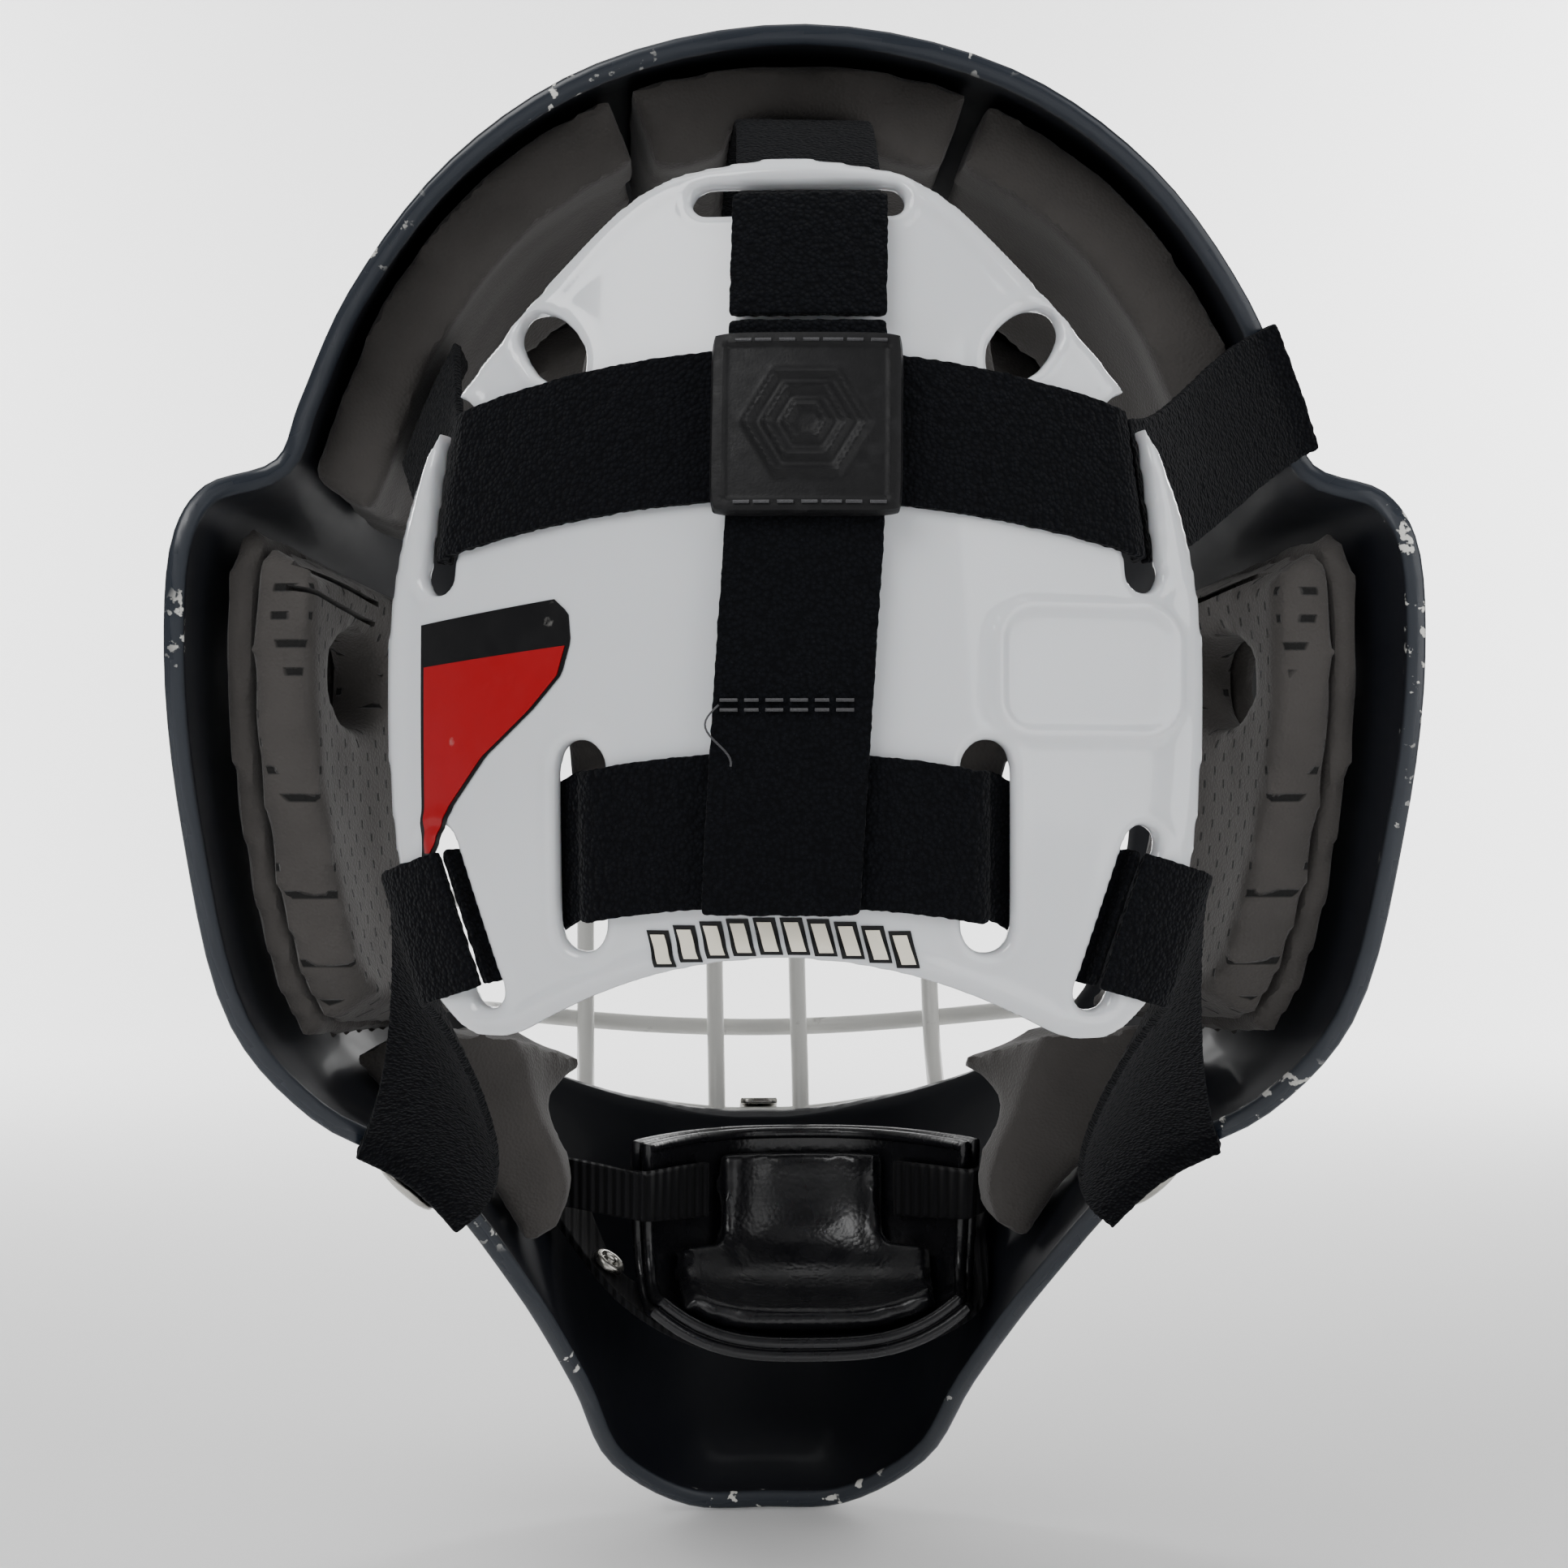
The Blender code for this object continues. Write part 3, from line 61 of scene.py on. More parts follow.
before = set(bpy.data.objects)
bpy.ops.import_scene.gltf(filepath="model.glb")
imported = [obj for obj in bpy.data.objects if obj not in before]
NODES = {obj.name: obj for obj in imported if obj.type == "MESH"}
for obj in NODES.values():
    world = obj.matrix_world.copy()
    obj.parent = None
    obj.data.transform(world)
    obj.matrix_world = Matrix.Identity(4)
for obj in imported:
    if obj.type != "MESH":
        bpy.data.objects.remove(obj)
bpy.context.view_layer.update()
MM = 0.001


def linear(code):
    """The linear colour, with alpha, of an sRGB hex code."""
    values = [int(code[index:index + 2], 16) / 255 for index in (1, 3, 5)]
    return [v / 12.92 if v <= 0.04045 else ((v + 0.055) / 1.055) ** 2.4 for v in values] + [1.0]


def colour(name, description, code):
    return FloatVectorProperty(name=name, description=description, default=linear(code),
                               subtype="COLOR", size=4, min=0.0, max=1.0)


def length(name, description, metres):
    return FloatProperty(name=name, description=description, default=metres, unit="LENGTH",
                         min=0.00001, precision=5)


class GoalieMaskFinishes(bpy.types.PropertyGroup):
    """Colours of the mask's materials"""
    shell: colour("Shell", "Lacquer on the moulded shell", "#0c0f18")
    # Painted highlight: this colour stands for light on the shell's rounded rear edge
    painted_rim_highlight: colour("Shell rim", "Trimmed edge of the shell", "#20262f")
    chip: colour("Chips", "Bare filler where the lacquer has chipped", "#d9d8d2")
    plate: colour("Back plate", "Moulded polyethylene", "#dcdfe3")
    foam: colour("Foam", "Closed-cell foam pads", "#474442")
    terry: colour("Harness elastic", "Looped face of the harness elastic", "#07080b")
    ribbed: colour("Chin elastic", "Ribbed elastic at the chin", "#08080a")
    vinyl: colour("Chin cup", "Coated vinyl of the chin cup", "#0b0b0e")
    rubber: colour("Badge", "Moulded rubber patch", "#0d0d0f")
    wire: colour("Cage", "Powder coat on the cage", "#dcdcd8")
    steel: colour("Fittings", "Nickel-plated steel", "#c9c7c2")
    label: colour("Label", "Printed vinyl label on the back plate", "#9c0b16")
    ink: colour("Ink", "Printed parts of the labels", "#0d0d0f")
    cream: colour("Cream", "Light parts of the printed row", "#efe9d8")


class GoalieMaskSizes(bpy.types.PropertyGroup):
    """Sizes of the mask's surface detail"""
    loop: length("Loop", "Spacing of the terry loops", 0.0008)
    rib: length("Rib", "Spacing of the chin elastic's ribs", 0.0019)
    cell: length("Foam cell", "Cell size of the foam, drawn coarse enough to show", 0.0007)
    foam_voxel: length("Foam voxel", "Grid on which the pads' rounded edges are made", 0.0022)
    plate_rim: length("Plate rim", "Height of the back plate's rolled rim", 0.0008)
    bead: length("Bead", "Radius of the chin cup's edge bead", 0.0013)
    stitch: length("Stitch", "Length of a stitch", 0.0026)
    swell_frames: IntProperty(name="Swell frames", description="Steps the cushions swell for",
                              default=20, min=2, max=60)


def finishes():
    return bpy.context.scene.goalie_mask_finishes


def sizes():
    return bpy.context.scene.goalie_mask_sizes


# ---------------------------------------------------------------- surfaces of the frame

# The net of the shell in mm: for each rib the face edge, two handles and the rear rim, from
# crown and dome by the temple notch, the ear wing and the jaw to the chin
SHELL_NET = (
    ((0, -125, 52), (0, -131, 105), (0, -60, 165), (0, 25, 146)),
    ((30, -122, 51), (36, -127, 103), (44, -57, 156), (40, 24.5, 138)),
    ((52, -112, 47), (60, -115, 92), (75, -50, 133), (68, 21, 120)),
    ((67, -100, 39), (76, -101, 74), (93, -42, 102), (88, 15.5, 95)),
    ((73, -94, 32), (82, -90, 53), (100, -38, 78), (98, 10, 74)),
    ((75, -92, 29), (84, -86, 46), (103, -37, 66), (102.5, 8, 63.5)),
    ((77, -90, 25), (87, -82, 38), (112, -34, 58), (116, 11, 58)),
    ((79, -88, 21), (90, -79, 30), (117, -32, 48), (121.5, 14, 49)),
    ((83, -83, 8), (96, -72, 10), (120, -30, 22), (123.5, 14, 25)),
    ((82, -84, -18), (95, -72, -18), (118, -32, -12), (120.5, 9, -10)),
    ((76, -93, -43), (89, -82, -48), (109, -38, -50), (112, 1, -48)),
    ((66, -107, -58), (79, -96, -68), (97, -48, -70), (97, -8, -67)),
    ((53, -120, -67), (65, -113, -82), (80, -66, -86), (76, -26, -81)),
    ((38, -131, -73), (49, -129, -92), (62, -88, -108), (58, -50, -107)),
    ((26, -137, -76), (34, -141, -99), (49, -113, -132), (45, -80, -134)),
    ((16, -140, -78), (22, -149, -103), (38, -134, -152), (36, -102, -156)),
    ((7, -142, -79), (10, -155, -107), (20, -146, -164), (18, -113, -168)),
    ((0, -142, -79), (0, -156, -108), (0, -149, -165), (0, -115, -169)),
)
LAST_RIB = len(SHELL_NET) - 1
SHELL_WALL = 0.004


NET = np.array(SHELL_NET, float) * MM
KNOTS = np.concatenate([[0.0], np.cumsum(np.sqrt(
    np.linalg.norm(np.diff(NET[:, 3], axis=0), axis=1)))])


def rib_slopes():
    gaps = np.diff(KNOTS)[:, None, None]
    secants = np.diff(NET, axis=0) / gaps
    inner = (secants[:-1] * gaps[1:] + secants[1:] * gaps[:-1]) / (gaps[1:] + gaps[:-1])
    across_only = np.array([1.0, 0.0, 0.0])
    return np.concatenate([secants[:1] * across_only, inner, secants[-1:] * across_only])


SLOPES = rib_slopes()


def bare_point(rib, across):
    low = min(int(rib), LAST_RIB - 1)
    t = rib - low
    gap = KNOTS[low + 1] - KNOTS[low]
    net = ((2 * t ** 3 - 3 * t ** 2 + 1) * NET[low] + (t ** 3 - 2 * t ** 2 + t) * gap * SLOPES[low]
           + (3 * t ** 2 - 2 * t ** 3) * NET[low + 1] + (t ** 3 - t ** 2) * gap * SLOPES[low + 1])
    s = across
    weights = np.array([(1 - s) ** 3, 3 * s * (1 - s) ** 2, 3 * s ** 2 * (1 - s), s ** 3])
    return weights @ net


def shell_frame(rib, across):
    """(point, along the rib towards the rear, outward normal) on the shell's outer face, at a
    signed rib: positive on the wearer's left."""
    side = -1.0 if rib < 0 else 1.0
    rib = abs(rib)
    step = 0.01
    girth = bare_point(min(rib + step, LAST_RIB), across) - bare_point(max(rib - step, 0), across)
    if rib < step or rib > LAST_RIB - step:
        girth *= np.array([1.0, 0.0, 0.0])
    near, far = max(min(across, 1.0) - step, 0.0), min(max(across, 0.0) + step, 1.0)
    rearward = bare_point(rib, far) - bare_point(rib, near)
    normal = np.cross(girth, rearward)
    mirror = np.array([side, 1.0, 1.0])
    return (Vector(bare_point(rib, across) * mirror), Vector(rearward * mirror).normalized(),
            Vector(normal * mirror).normalized())


def shell_point(rib, across, out=0.0, rear=0.0):
    point, rearward, normal = shell_frame(rib, across)
    return point + normal * out + rearward * rear


PLATE_WALL = 0.003
PLATE_BOW = 0.095       # radius of the plate across the back of the head
PLATE_REACH = 0.034
PLATE_TURN = math.radians(-7.0)
PLATE_PLACE = (0.0055, 0.072, 0.0)
# Half of the plate's outline in mm, from the top round to the inside of the foot
PLATE_OUTLINE = (
    (0, 109), (16, 107), (24, 104.2), (32, 98.3), (40, 90), (48.5, 80.6), (56, 72), (62.3, 62.5),
    (67.5, 52), (71.3, 38), (73, 22), (72.7, 2), (71, -14), (68.5, -27), (64, -37), (57.5, -43.6),
    (52, -44.5), (47, -43.6),
)


def plate_height(x, z):
    bow = PLATE_BOW - math.sqrt(max(PLATE_BOW ** 2 - x ** 2, 0.0))
    return PLATE_REACH - (z - 0.015) ** 2 / 0.442 - bow


PLATE_FRAME = Matrix.Translation(PLATE_PLACE) @ Matrix.Rotation(PLATE_TURN, 4, "Z")


def plate_point(x, z, out=0.0):
    """A point out from the back plate's outer face, at x and z in the plate's own frame."""
    step = 0.0005
    slope_x = (plate_height(x + step, z) - plate_height(x - step, z)) / (2 * step)
    slope_z = (plate_height(x, z + step) - plate_height(x, z - step)) / (2 * step)
    normal = Vector((-slope_x, 1.0, -slope_z)).normalized()
    return PLATE_FRAME @ (Vector((x, plate_height(x, z), z)) + normal * out)


def bezier(points, t):
    while len(points) > 1:
        points = [a.lerp(b, t) for a, b in zip(points, points[1:])]
    return points[0]


CUP_PROFILE = ((-0.1155, -0.081), (-0.1185, -0.108), (-0.107, -0.1265), (-0.070, -0.1265))
CUP_SHIFT = -0.0075
CUP_HALF_WIDTH = 0.0385
CUP_WRAP = 0.030
CUP_WALL = 0.0035


def bare_cup(u, v):
    section = bezier([Vector((0, y, z)) for y, z in CUP_PROFILE], v)
    wrap = CUP_WRAP * abs(u) ** 2.6 * (1 - v) ** 0.8
    rise = 0.010 * abs(u) ** 3 * v
    narrow = 1.0 - 0.10 * v * v
    return section + Vector((CUP_SHIFT + CUP_HALF_WIDTH * u * narrow, wrap, rise))


def cup_point(u, v, inside=0.0):
    """A point of the chin cup: u from right to left, v from its top to its back lip."""
    step = 0.02
    near, far = max(v - step, 0.0), min(v + step, 1.0)
    sideways = bare_cup(u + step, v) - bare_cup(u - step, v)
    down = bare_cup(u, far) - bare_cup(u, near)
    return bare_cup(u, v) + sideways.cross(down).normalized() * inside


# ---------------------------------------------------------------- mesh tools

def steps(start, end, count):
    return [start + (end - start) * index / count for index in range(count + 1)]


def new_piece(name, work, material, smooth=True, angle=40):
    """A piece from the bmesh, with its faces pointing out, on the scene's own collection."""
    bmesh.ops.recalc_face_normals(work, faces=work.faces)
    mesh = bpy.data.meshes.new(name)
    work.to_mesh(mesh)
    work.free()
    piece = bpy.data.objects.new(name, mesh)
    bpy.context.scene.collection.objects.link(piece)
    if material:
        mesh.materials.append(material)
    if smooth:
        mesh.shade_smooth()
        mesh.set_sharp_from_angle(angle=math.radians(angle))
    return piece


def applied(piece, angle=40):
    """The piece with its modifiers made real."""
    bpy.context.view_layer.update()
    graph = bpy.context.evaluated_depsgraph_get()
    mesh = bpy.data.meshes.new_from_object(piece.evaluated_get(graph), depsgraph=graph,
                                           preserve_all_data_layers=True)
    old = piece.data
    piece.modifiers.clear()
    piece.data = mesh
    bpy.data.meshes.remove(old)
    mesh.name = piece.name
    mesh.shade_smooth()
    mesh.set_sharp_from_angle(angle=math.radians(angle))
    return piece


def modify(piece, kind, **settings):
    change = piece.modifiers.new(kind.lower(), kind)
    for key, value in settings.items():
        setattr(change, key, value)
    return change


def sheet_mesh(rows):
    work = bmesh.new()
    grid = [[work.verts.new(point) for point in row] for row in rows]
    for low, high in zip(grid, grid[1:]):
        for a, b, c, d in zip(low, low[1:], high[1:], high):
            work.faces.new((a, b, c, d))
    return work


def sheet(name, rows, thickness, material, bevel=0.0):
    """A thickened sheet through rows of points, with its edges rounded."""
    piece = new_piece(name, sheet_mesh(rows), material)
    modify(piece, "SOLIDIFY", thickness=thickness, offset=0.0, use_even_offset=True)
    if bevel:
        modify(piece, "BEVEL", width=bevel, segments=2, limit_method="ANGLE",
               angle_limit=math.radians(50))
    return applied(piece)


def tube(name, lines, radius, material, cyclic=False, sides=8):
    """One piece made of tubes along lists of points."""
    work = bmesh.new()
    for line in lines:
        rings = []
        last = len(line) - 1
        side = None
        for index, point in enumerate(line):
            if cyclic:
                along = line[(index + 1) % len(line)] - line[index - 1]
            else:
                along = line[min(index + 1, last)] - line[max(index - 1, 0)]
            along.normalize()
            if side is None:
                side = along.orthogonal().normalized()
            side = (side - along * side.dot(along)).normalized()
            up = along.cross(side)
            ring = []
            for corner in range(sides):
                angle = 2 * math.pi * corner / sides
                ring.append(work.verts.new(point + (side * math.cos(angle) + up * math.sin(angle))
                                           * radius))
            rings.append(ring)
        pairs = list(zip(rings, rings[1:]))
        if cyclic:
            turn = min(range(sides), key=lambda k: (rings[0][k].co - rings[-1][0].co).length)
            pairs.append((rings[-1], rings[0][turn:] + rings[0][:turn]))
        for low, high in pairs:
            for corner in range(sides):
                after = (corner + 1) % sides
                work.faces.new((low[corner], low[after], high[after], high[corner]))
        if not cyclic:
            for ring, inwards in ((rings[0], 1), (rings[-1], -1)):
                work.faces.new(ring[::inwards])
    return new_piece(name, work, material)


def quads_of(node):
    """A bmesh of a frame node with its triangles joined to quads."""
    work = bmesh.new()
    work.from_mesh(NODES[node].data)
    bmesh.ops.remove_doubles(work, verts=work.verts, dist=0.000002)
    bmesh.ops.join_triangles(work, faces=work.faces, angle_face_threshold=0.7,
                             angle_shape_threshold=0.9, cmp_seam=False, cmp_sharp=False,
                             cmp_uvs=False, cmp_vcols=False, cmp_materials=False)
    return work


def rounded(node, material, levels=2, crease=0.8, angle=50, name=None):
    """A piece with a frame node's shape, its facets smoothed and its edges just rounded."""
    work = quads_of(node)
    creases = work.edges.layers.float.new("crease_edge")
    for edge in work.edges:
        if edge.calc_face_angle(0.0) > math.radians(angle):
            edge[creases] = crease
    piece = new_piece(name or "smooth_" + node, work, material)
    modify(piece, "SUBSURF", levels=levels, render_levels=levels)
    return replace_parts(applied(piece, 60), node)


def roughen(piece, height, size, seed):
    """Moves each point along its normal by noise of that height and grain size."""
    mesh = piece.data
    count = len(mesh.vertices)
    points = np.empty(count * 3)
    normals = np.empty(count * 3)
    mesh.vertices.foreach_get("co", points)
    mesh.vertices.foreach_get("normal", normals)
    points, normals = points.reshape(-1, 3), normals.reshape(-1, 3)
    shift = Vector((seed * 7.3, seed * 3.1, seed * 5.7))
    lift = np.array([noise.noise(Vector(point) / size + shift) for point in points])
    moved = points + normals * (lift * height)[:, None]
    mesh.vertices.foreach_set("co", moved.ravel())
    mesh.update()
    return piece


def foam_block(node, material, seed, voxel=None, rounds=5, name=None):
    """A foam pad with a frame node's shape, its cut edges rounded and its faces uneven."""
    work = bmesh.new()
    work.from_mesh(NODES[node].data)
    bmesh.ops.remove_doubles(work, verts=work.verts, dist=0.000002)
    piece = new_piece(name or "foam_" + node, work, material)
    modify(piece, "REMESH", mode="VOXEL", voxel_size=voxel or sizes().foam_voxel)
    modify(piece, "SMOOTH", factor=0.5, iterations=rounds)
    applied(piece)
    roughen(piece, 0.0005, 0.014, seed)
    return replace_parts(piece, node)


def box_cutter(name, centre, axes, extents):
    """A box for cutting with: axes are three directions, extents its half lengths on them."""
    work = bmesh.new()
    bmesh.ops.create_cube(work, size=2.0)
    place = Matrix([axis * extent for axis, extent in zip(axes, extents)]).transposed().to_4x4()
    place.translation = centre
    work.transform(place)
    return new_piece(name, work, None, smooth=False)


def carve(piece, cutters):
    """Takes the cutters from the piece, and removes them."""
    for cutter in cutters:
        modify(piece, "BOOLEAN", operation="DIFFERENCE", object=cutter, solver="EXACT")
    applied(piece)
    for cutter in cutters:
        bpy.data.objects.remove(cutter, do_unlink=True)
    return piece


def swell(piece, voxel, cap):
    """Cushions a closed mesh: remeshed, blown up as cloth, and held within cap of its start."""
    modify(piece, "REMESH", mode="VOXEL", voxel_size=voxel)
    applied(piece)
    start = np.array([vert.co for vert in piece.data.vertices])
    cloth = modify(piece, "CLOTH")
    cloth.settings.use_pressure = True
    cloth.settings.uniform_pressure_force = 4.0
    cloth.settings.effector_weights.gravity = 0.0
    for number in range(1, sizes().swell_frames + 1):
        bpy.context.scene.frame_set(number)
    applied(piece)
    bpy.context.scene.frame_set(1)
    end = np.array([vert.co for vert in piece.data.vertices])
    move = end - start
    reach = np.linalg.norm(move, axis=1, keepdims=True)
    end = start + move * np.minimum(1.0, cap / np.maximum(reach, 1e-9))
    piece.data.vertices.foreach_set("co", end.ravel())
    piece.data.update()
    modify(piece, "SUBSURF", levels=1, render_levels=1)
    return applied(piece)


def place(piece, body, slot):
    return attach(piece, body)


# ---------------------------------------------------------------- materials

def once(make):
    """Each material is made once, however many pieces use it."""
    made = {}

    def shared():
        if make not in made:
            made[make] = make()
        return made[make]
    return shared


def add_node(tree, kind, links=(), take=0, **settings):
    """An output of a new node with its settings, its inputs set to values or linked to sockets.
    A list fills the inputs in order, and a dict gives each by its name or its place."""
    node = tree.nodes.new("ShaderNode" + kind)
    for key, value in settings.items():
        setattr(node, key, value)
    for socket, value in links.items() if isinstance(links, dict) else enumerate(links):
        if isinstance(value, bpy.types.NodeSocket):
            tree.links.new(value, node.inputs[socket])
        else:
            node.inputs[socket].default_value = value
    return node.outputs[take]


def start_material(name, **sockets):
    """(material, its tree, its shader, object coordinates), with constants on the shader."""
    made = bpy.data.materials.new(name)
    made.use_nodes = True
    tree = made.node_tree
    shader = tree.nodes["Principled BSDF"]
    for socket, value in sockets.items():
        shader.inputs[socket.replace("_", " ")].default_value = value
    return made, tree, shader, add_node(tree, "TexCoord", take="Object")


def finish_material(tree, shader, tone=None, rough=None, height=None, relief=0.0001, under=None):
    """Links a colour, a roughness and a bump of that relief in metres to the shader."""
    if tone is not None:
        tree.links.new(tone, shader.inputs["Base Color"])
    if rough is not None:
        tree.links.new(rough, shader.inputs["Roughness"])
    if height is not None:
        links = {"Height": height, "Distance": relief, "Strength": 1.0}
        if under is not None:
            links["Normal"] = under
        bump = add_node(tree, "Bump", links)
        tree.links.new(bump, shader.inputs["Normal"])
        return bump
    return None


@once
def lacquered_composite():
    """Dark lacquer over a moulded fibre shell: orange-peel gloss, a paler band painted along the
    rounded rear edge as a highlight, and chips down to the filler along it."""
    look = finishes()
    made, tree, shader, coords = start_material("lacquered_composite", Coat_Weight=0.10,
                                                Coat_Roughness=0.12, IOR=1.5)
    edge = add_node(tree, "Attribute", take="Fac", attribute_name="edge_distance")
    inner = add_node(tree, "Attribute", take="Fac", attribute_name="inside")
    # Painted highlight: a paler band along the rounded rear edge
    band = add_node(tree, "MapRange", [edge, 0.0019, 0.0023, 1.0, 0.0])
    tone = add_node(tree, "Mix", {0: band, 6: look.shell, 7: look.painted_rim_highlight}, take=2,
                    data_type="RGBA")
    patches = add_node(tree, "MapRange",
                       [add_node(tree, "TexNoise",
                                 {"Vector": coords, "Scale": 1 / 0.045, "Detail": 1.0}), 0.56,
                        0.62, 0.0, 1.0])
    flecks = add_node(tree, "MapRange",
                      [add_node(tree, "TexNoise",
                                {"Vector": coords, "Scale": 1 / 0.0028, "Detail": 6.0}), 0.60,
                       0.63, 0.0, 1.0])
    chips = add_node(tree, "Math", [flecks, patches], operation="MULTIPLY")
    near = add_node(tree, "MapRange", [edge, 0.0022, 0.0032, 1.0, 0.0])
    worn = add_node(tree, "Math", [chips, near], operation="MULTIPLY")
    tone = add_node(tree, "Mix", {0: worn, 6: tone, 7: look.chip}, take=2, data_type="RGBA")
    smooth = add_node(tree, "MapRange",
                      [add_node(tree, "TexNoise", {"Vector": coords, "Scale": 1 / 0.02}), 0.3, 0.7,
                       0.20, 0.30])
    satin = add_node(tree, "MapRange", [inner, 0.0, 1.0, 0.0, 0.30])
    rough = add_node(tree, "Math", [smooth, satin])
    finish_material(tree, shader, tone, rough,
                    add_node(tree, "TexNoise", {"Vector": coords, "Scale": 1 / 0.002}), 0.000012)
    return made


def foam_material(name, perforated):
    """Closed-cell foam cut from a sheet: matt, faintly mottled, with open cells on its skin."""
    look = finishes()
    made, tree, shader, coords = start_material(name, Roughness=0.88, Sheen_Weight=0.15, IOR=1.45)
    mottle = add_node(tree, "MapRange",
                      [add_node(tree, "TexNoise", {"Vector": coords, "Scale": 1 / 0.012}), 0.3,
                       0.7, 0.75, 1.25])
    pale = [min(value * 1.08, 1.0) for value in look.foam[:3]] + [1.0]
    dark = [value * 0.90 for value in look.foam[:3]] + [1.0]
    tone = add_node(tree, "Mix",
                    {0: add_node(tree, "MapRange", [mottle, 0.75, 1.25, 0.0, 1.0]), 6: dark,
                     7: pale}, take=2, data_type="RGBA")
    cells = add_node(tree, "TexVoronoi", {"Vector": coords, "Scale": 1 / sizes().cell})
    under = finish_material(tree, shader, tone, None, cells, 0.00012)
    if perforated:
        # Punched slots stand in rows 3.8 mm apart and every 5.5 mm along them, and are painted near
        # black as the shade inside them
        across, up = (add_node(tree, "SeparateXYZ", [coords], take) for take in (1, 2))
        row = add_node(tree, "Math", [up, 1 / 0.0055], operation="MULTIPLY")
        line = add_node(tree, "Math", [across, 1 / 0.0038], operation="MULTIPLY")
        shift = add_node(tree, "Math", [line], operation="FLOOR")
        shift = add_node(tree, "Math", [shift, 0.5], operation="MULTIPLY")
        row = add_node(tree, "Math", [row, shift])
        holes = []
        for value, reach in ((row, 0.11), (line, 0.075)):
            part = add_node(tree, "Math", [value], operation="FRACT")
            part = add_node(tree, "Math", [part, 0.5], operation="SUBTRACT")
            part = add_node(tree, "Math", [part], operation="ABSOLUTE")
            holes.append(add_node(tree, "MapRange", [part, reach, reach * 1.5, 1.0, 0.0]))
        hole = add_node(tree, "Math", [holes[0], holes[1]], operation="MULTIPLY")
        # Painted shade: the slots are coloured near black
        tone = add_node(tree, "Mix", {0: hole, 6: tone, 7: linear("#080808")}, take=2,
                        data_type="RGBA")
        drop = add_node(tree, "MapRange", [hole, 0.0, 1.0, 1.0, 0.0])
        finish_material(tree, shader, tone, None, drop, 0.0006, under)
    return made


@once
def skived_foam():
    return foam_material("skived_foam", False)


@once
def perforated_foam():
    return foam_material("perforated_foam", True)


@once
def moulded_polyethylene():
    """White plate moulded from polyethylene: bright gloss with slow ripples, fine scuffs and
    a little light let in."""
    look = finishes()
    made, tree, shader, coords = start_material(
        "moulded_polyethylene", IOR=1.51, Coat_Weight=0.8, Coat_Roughness=0.05,
        Subsurface_Weight=0.08, Subsurface_Scale=0.002)
    grime = add_node(tree, "MapRange",
                     [add_node(tree, "TexNoise",
                               {"Vector": coords, "Scale": 1 / 0.03, "Detail": 6.0}), 0.62, 0.8,
                      0.0, 0.12])
    tone = add_node(tree, "Mix", {0: grime, 6: look.plate, 7: linear("#c9c6bd")}, take=2,
                    data_type="RGBA")
    rough = add_node(tree, "MapRange",
                     [add_node(tree, "TexNoise",
                               {"Vector": coords, "Scale": 1 / 0.005, "Detail": 4.0}), 0.3, 0.7,
                      0.12, 0.18])
    finish_material(tree, shader, tone, rough,
                    add_node(tree, "TexNoise", {"Vector": coords, "Scale": 1 / 0.022}), 0.00016)
    return made


@once
def terry_elastic():
    """Elastic faced with a looped pile: deep black that goes soft at its edges, each loop's top
    painted paler as a highlight and the gaps between the loops darker as painted shade.
    """
    look = finishes()
    made, tree, shader, coords = start_material("terry_elastic", Roughness=1.0, Sheen_Weight=0.03,
                                                Sheen_Roughness=0.5, IOR=1.45,
                                                Specular_IOR_Level=0.12)
    loops = add_node(tree, "TexVoronoi", {"Vector": coords, "Scale": 1 / sizes().loop})
    pale = [value * 2.2 for value in look.terry[:3]] + [1.0]
    # Painted highlight and shade: the loops' raised middles are paler, the gaps between them darker
    tone = add_node(tree, "Mix",
                    {0: add_node(tree, "MapRange", [loops, 0.1, 0.7, 1.0, 0.0]), 6: look.terry,
                     7: pale}, take=2, data_type="RGBA")
    finish_material(tree, shader, tone, None,
                    add_node(tree, "MapRange", [loops, 0.0, 0.8, 1.0, 0.0]), 0.00035)
    return made


@once
def ribbed_elastic():
    """Elastic woven with cross ribs: even ridges with a dull shine, each painted paler along its
    crest as a highlight.
    """
    look = finishes()
    made, tree, shader, coords = start_material("ribbed_elastic", Roughness=0.7, Sheen_Weight=0.03,
                                                IOR=1.48, Specular_IOR_Level=0.2)
    # A band texture turns once in 0.1 * pi of its unit, so this spaces the ribs as sized
    scale = math.pi / (10.0 * sizes().rib)
    ribs = add_node(tree, "TexWave", {"Vector": coords, "Scale": scale}, take="Fac",
                    bands_direction="X")
    # Painted highlight: the crest of each rib is paler, by the same wave as the bump
    pale = [value * 2.5 for value in look.ribbed[:3]] + [1.0]
    finish_material(tree, shader,
                    add_node(tree, "Mix", {0: ribs, 6: look.ribbed, 7: pale}, take=2,
                             data_type="RGBA"), None, ribs, 0.0004)
    return made


@once
def grained_vinyl():
    """Calendered vinyl with an embossed grain: semi-gloss with fine creases."""
    look = finishes()
    made, tree, shader, coords = start_material("grained_vinyl", IOR=1.53)
    leather = add_node(tree, "TexVoronoi", {"Vector": coords, "Scale": 1 / 0.0011})
    rough = add_node(tree, "MapRange",
                     [add_node(tree, "TexNoise", {"Vector": coords, "Scale": 1 / 0.009}), 0.3, 0.7,
                      0.22, 0.34])
    tone = add_node(tree, "Mix",
                    {0: add_node(tree, "TexNoise", {"Vector": coords, "Scale": 1 / 0.02}),
                     6: look.vinyl, 7: linear("#18181c")}, take=2, data_type="RGBA")
    finish_material(tree, shader, tone, rough, leather, 0.00005)
    return made


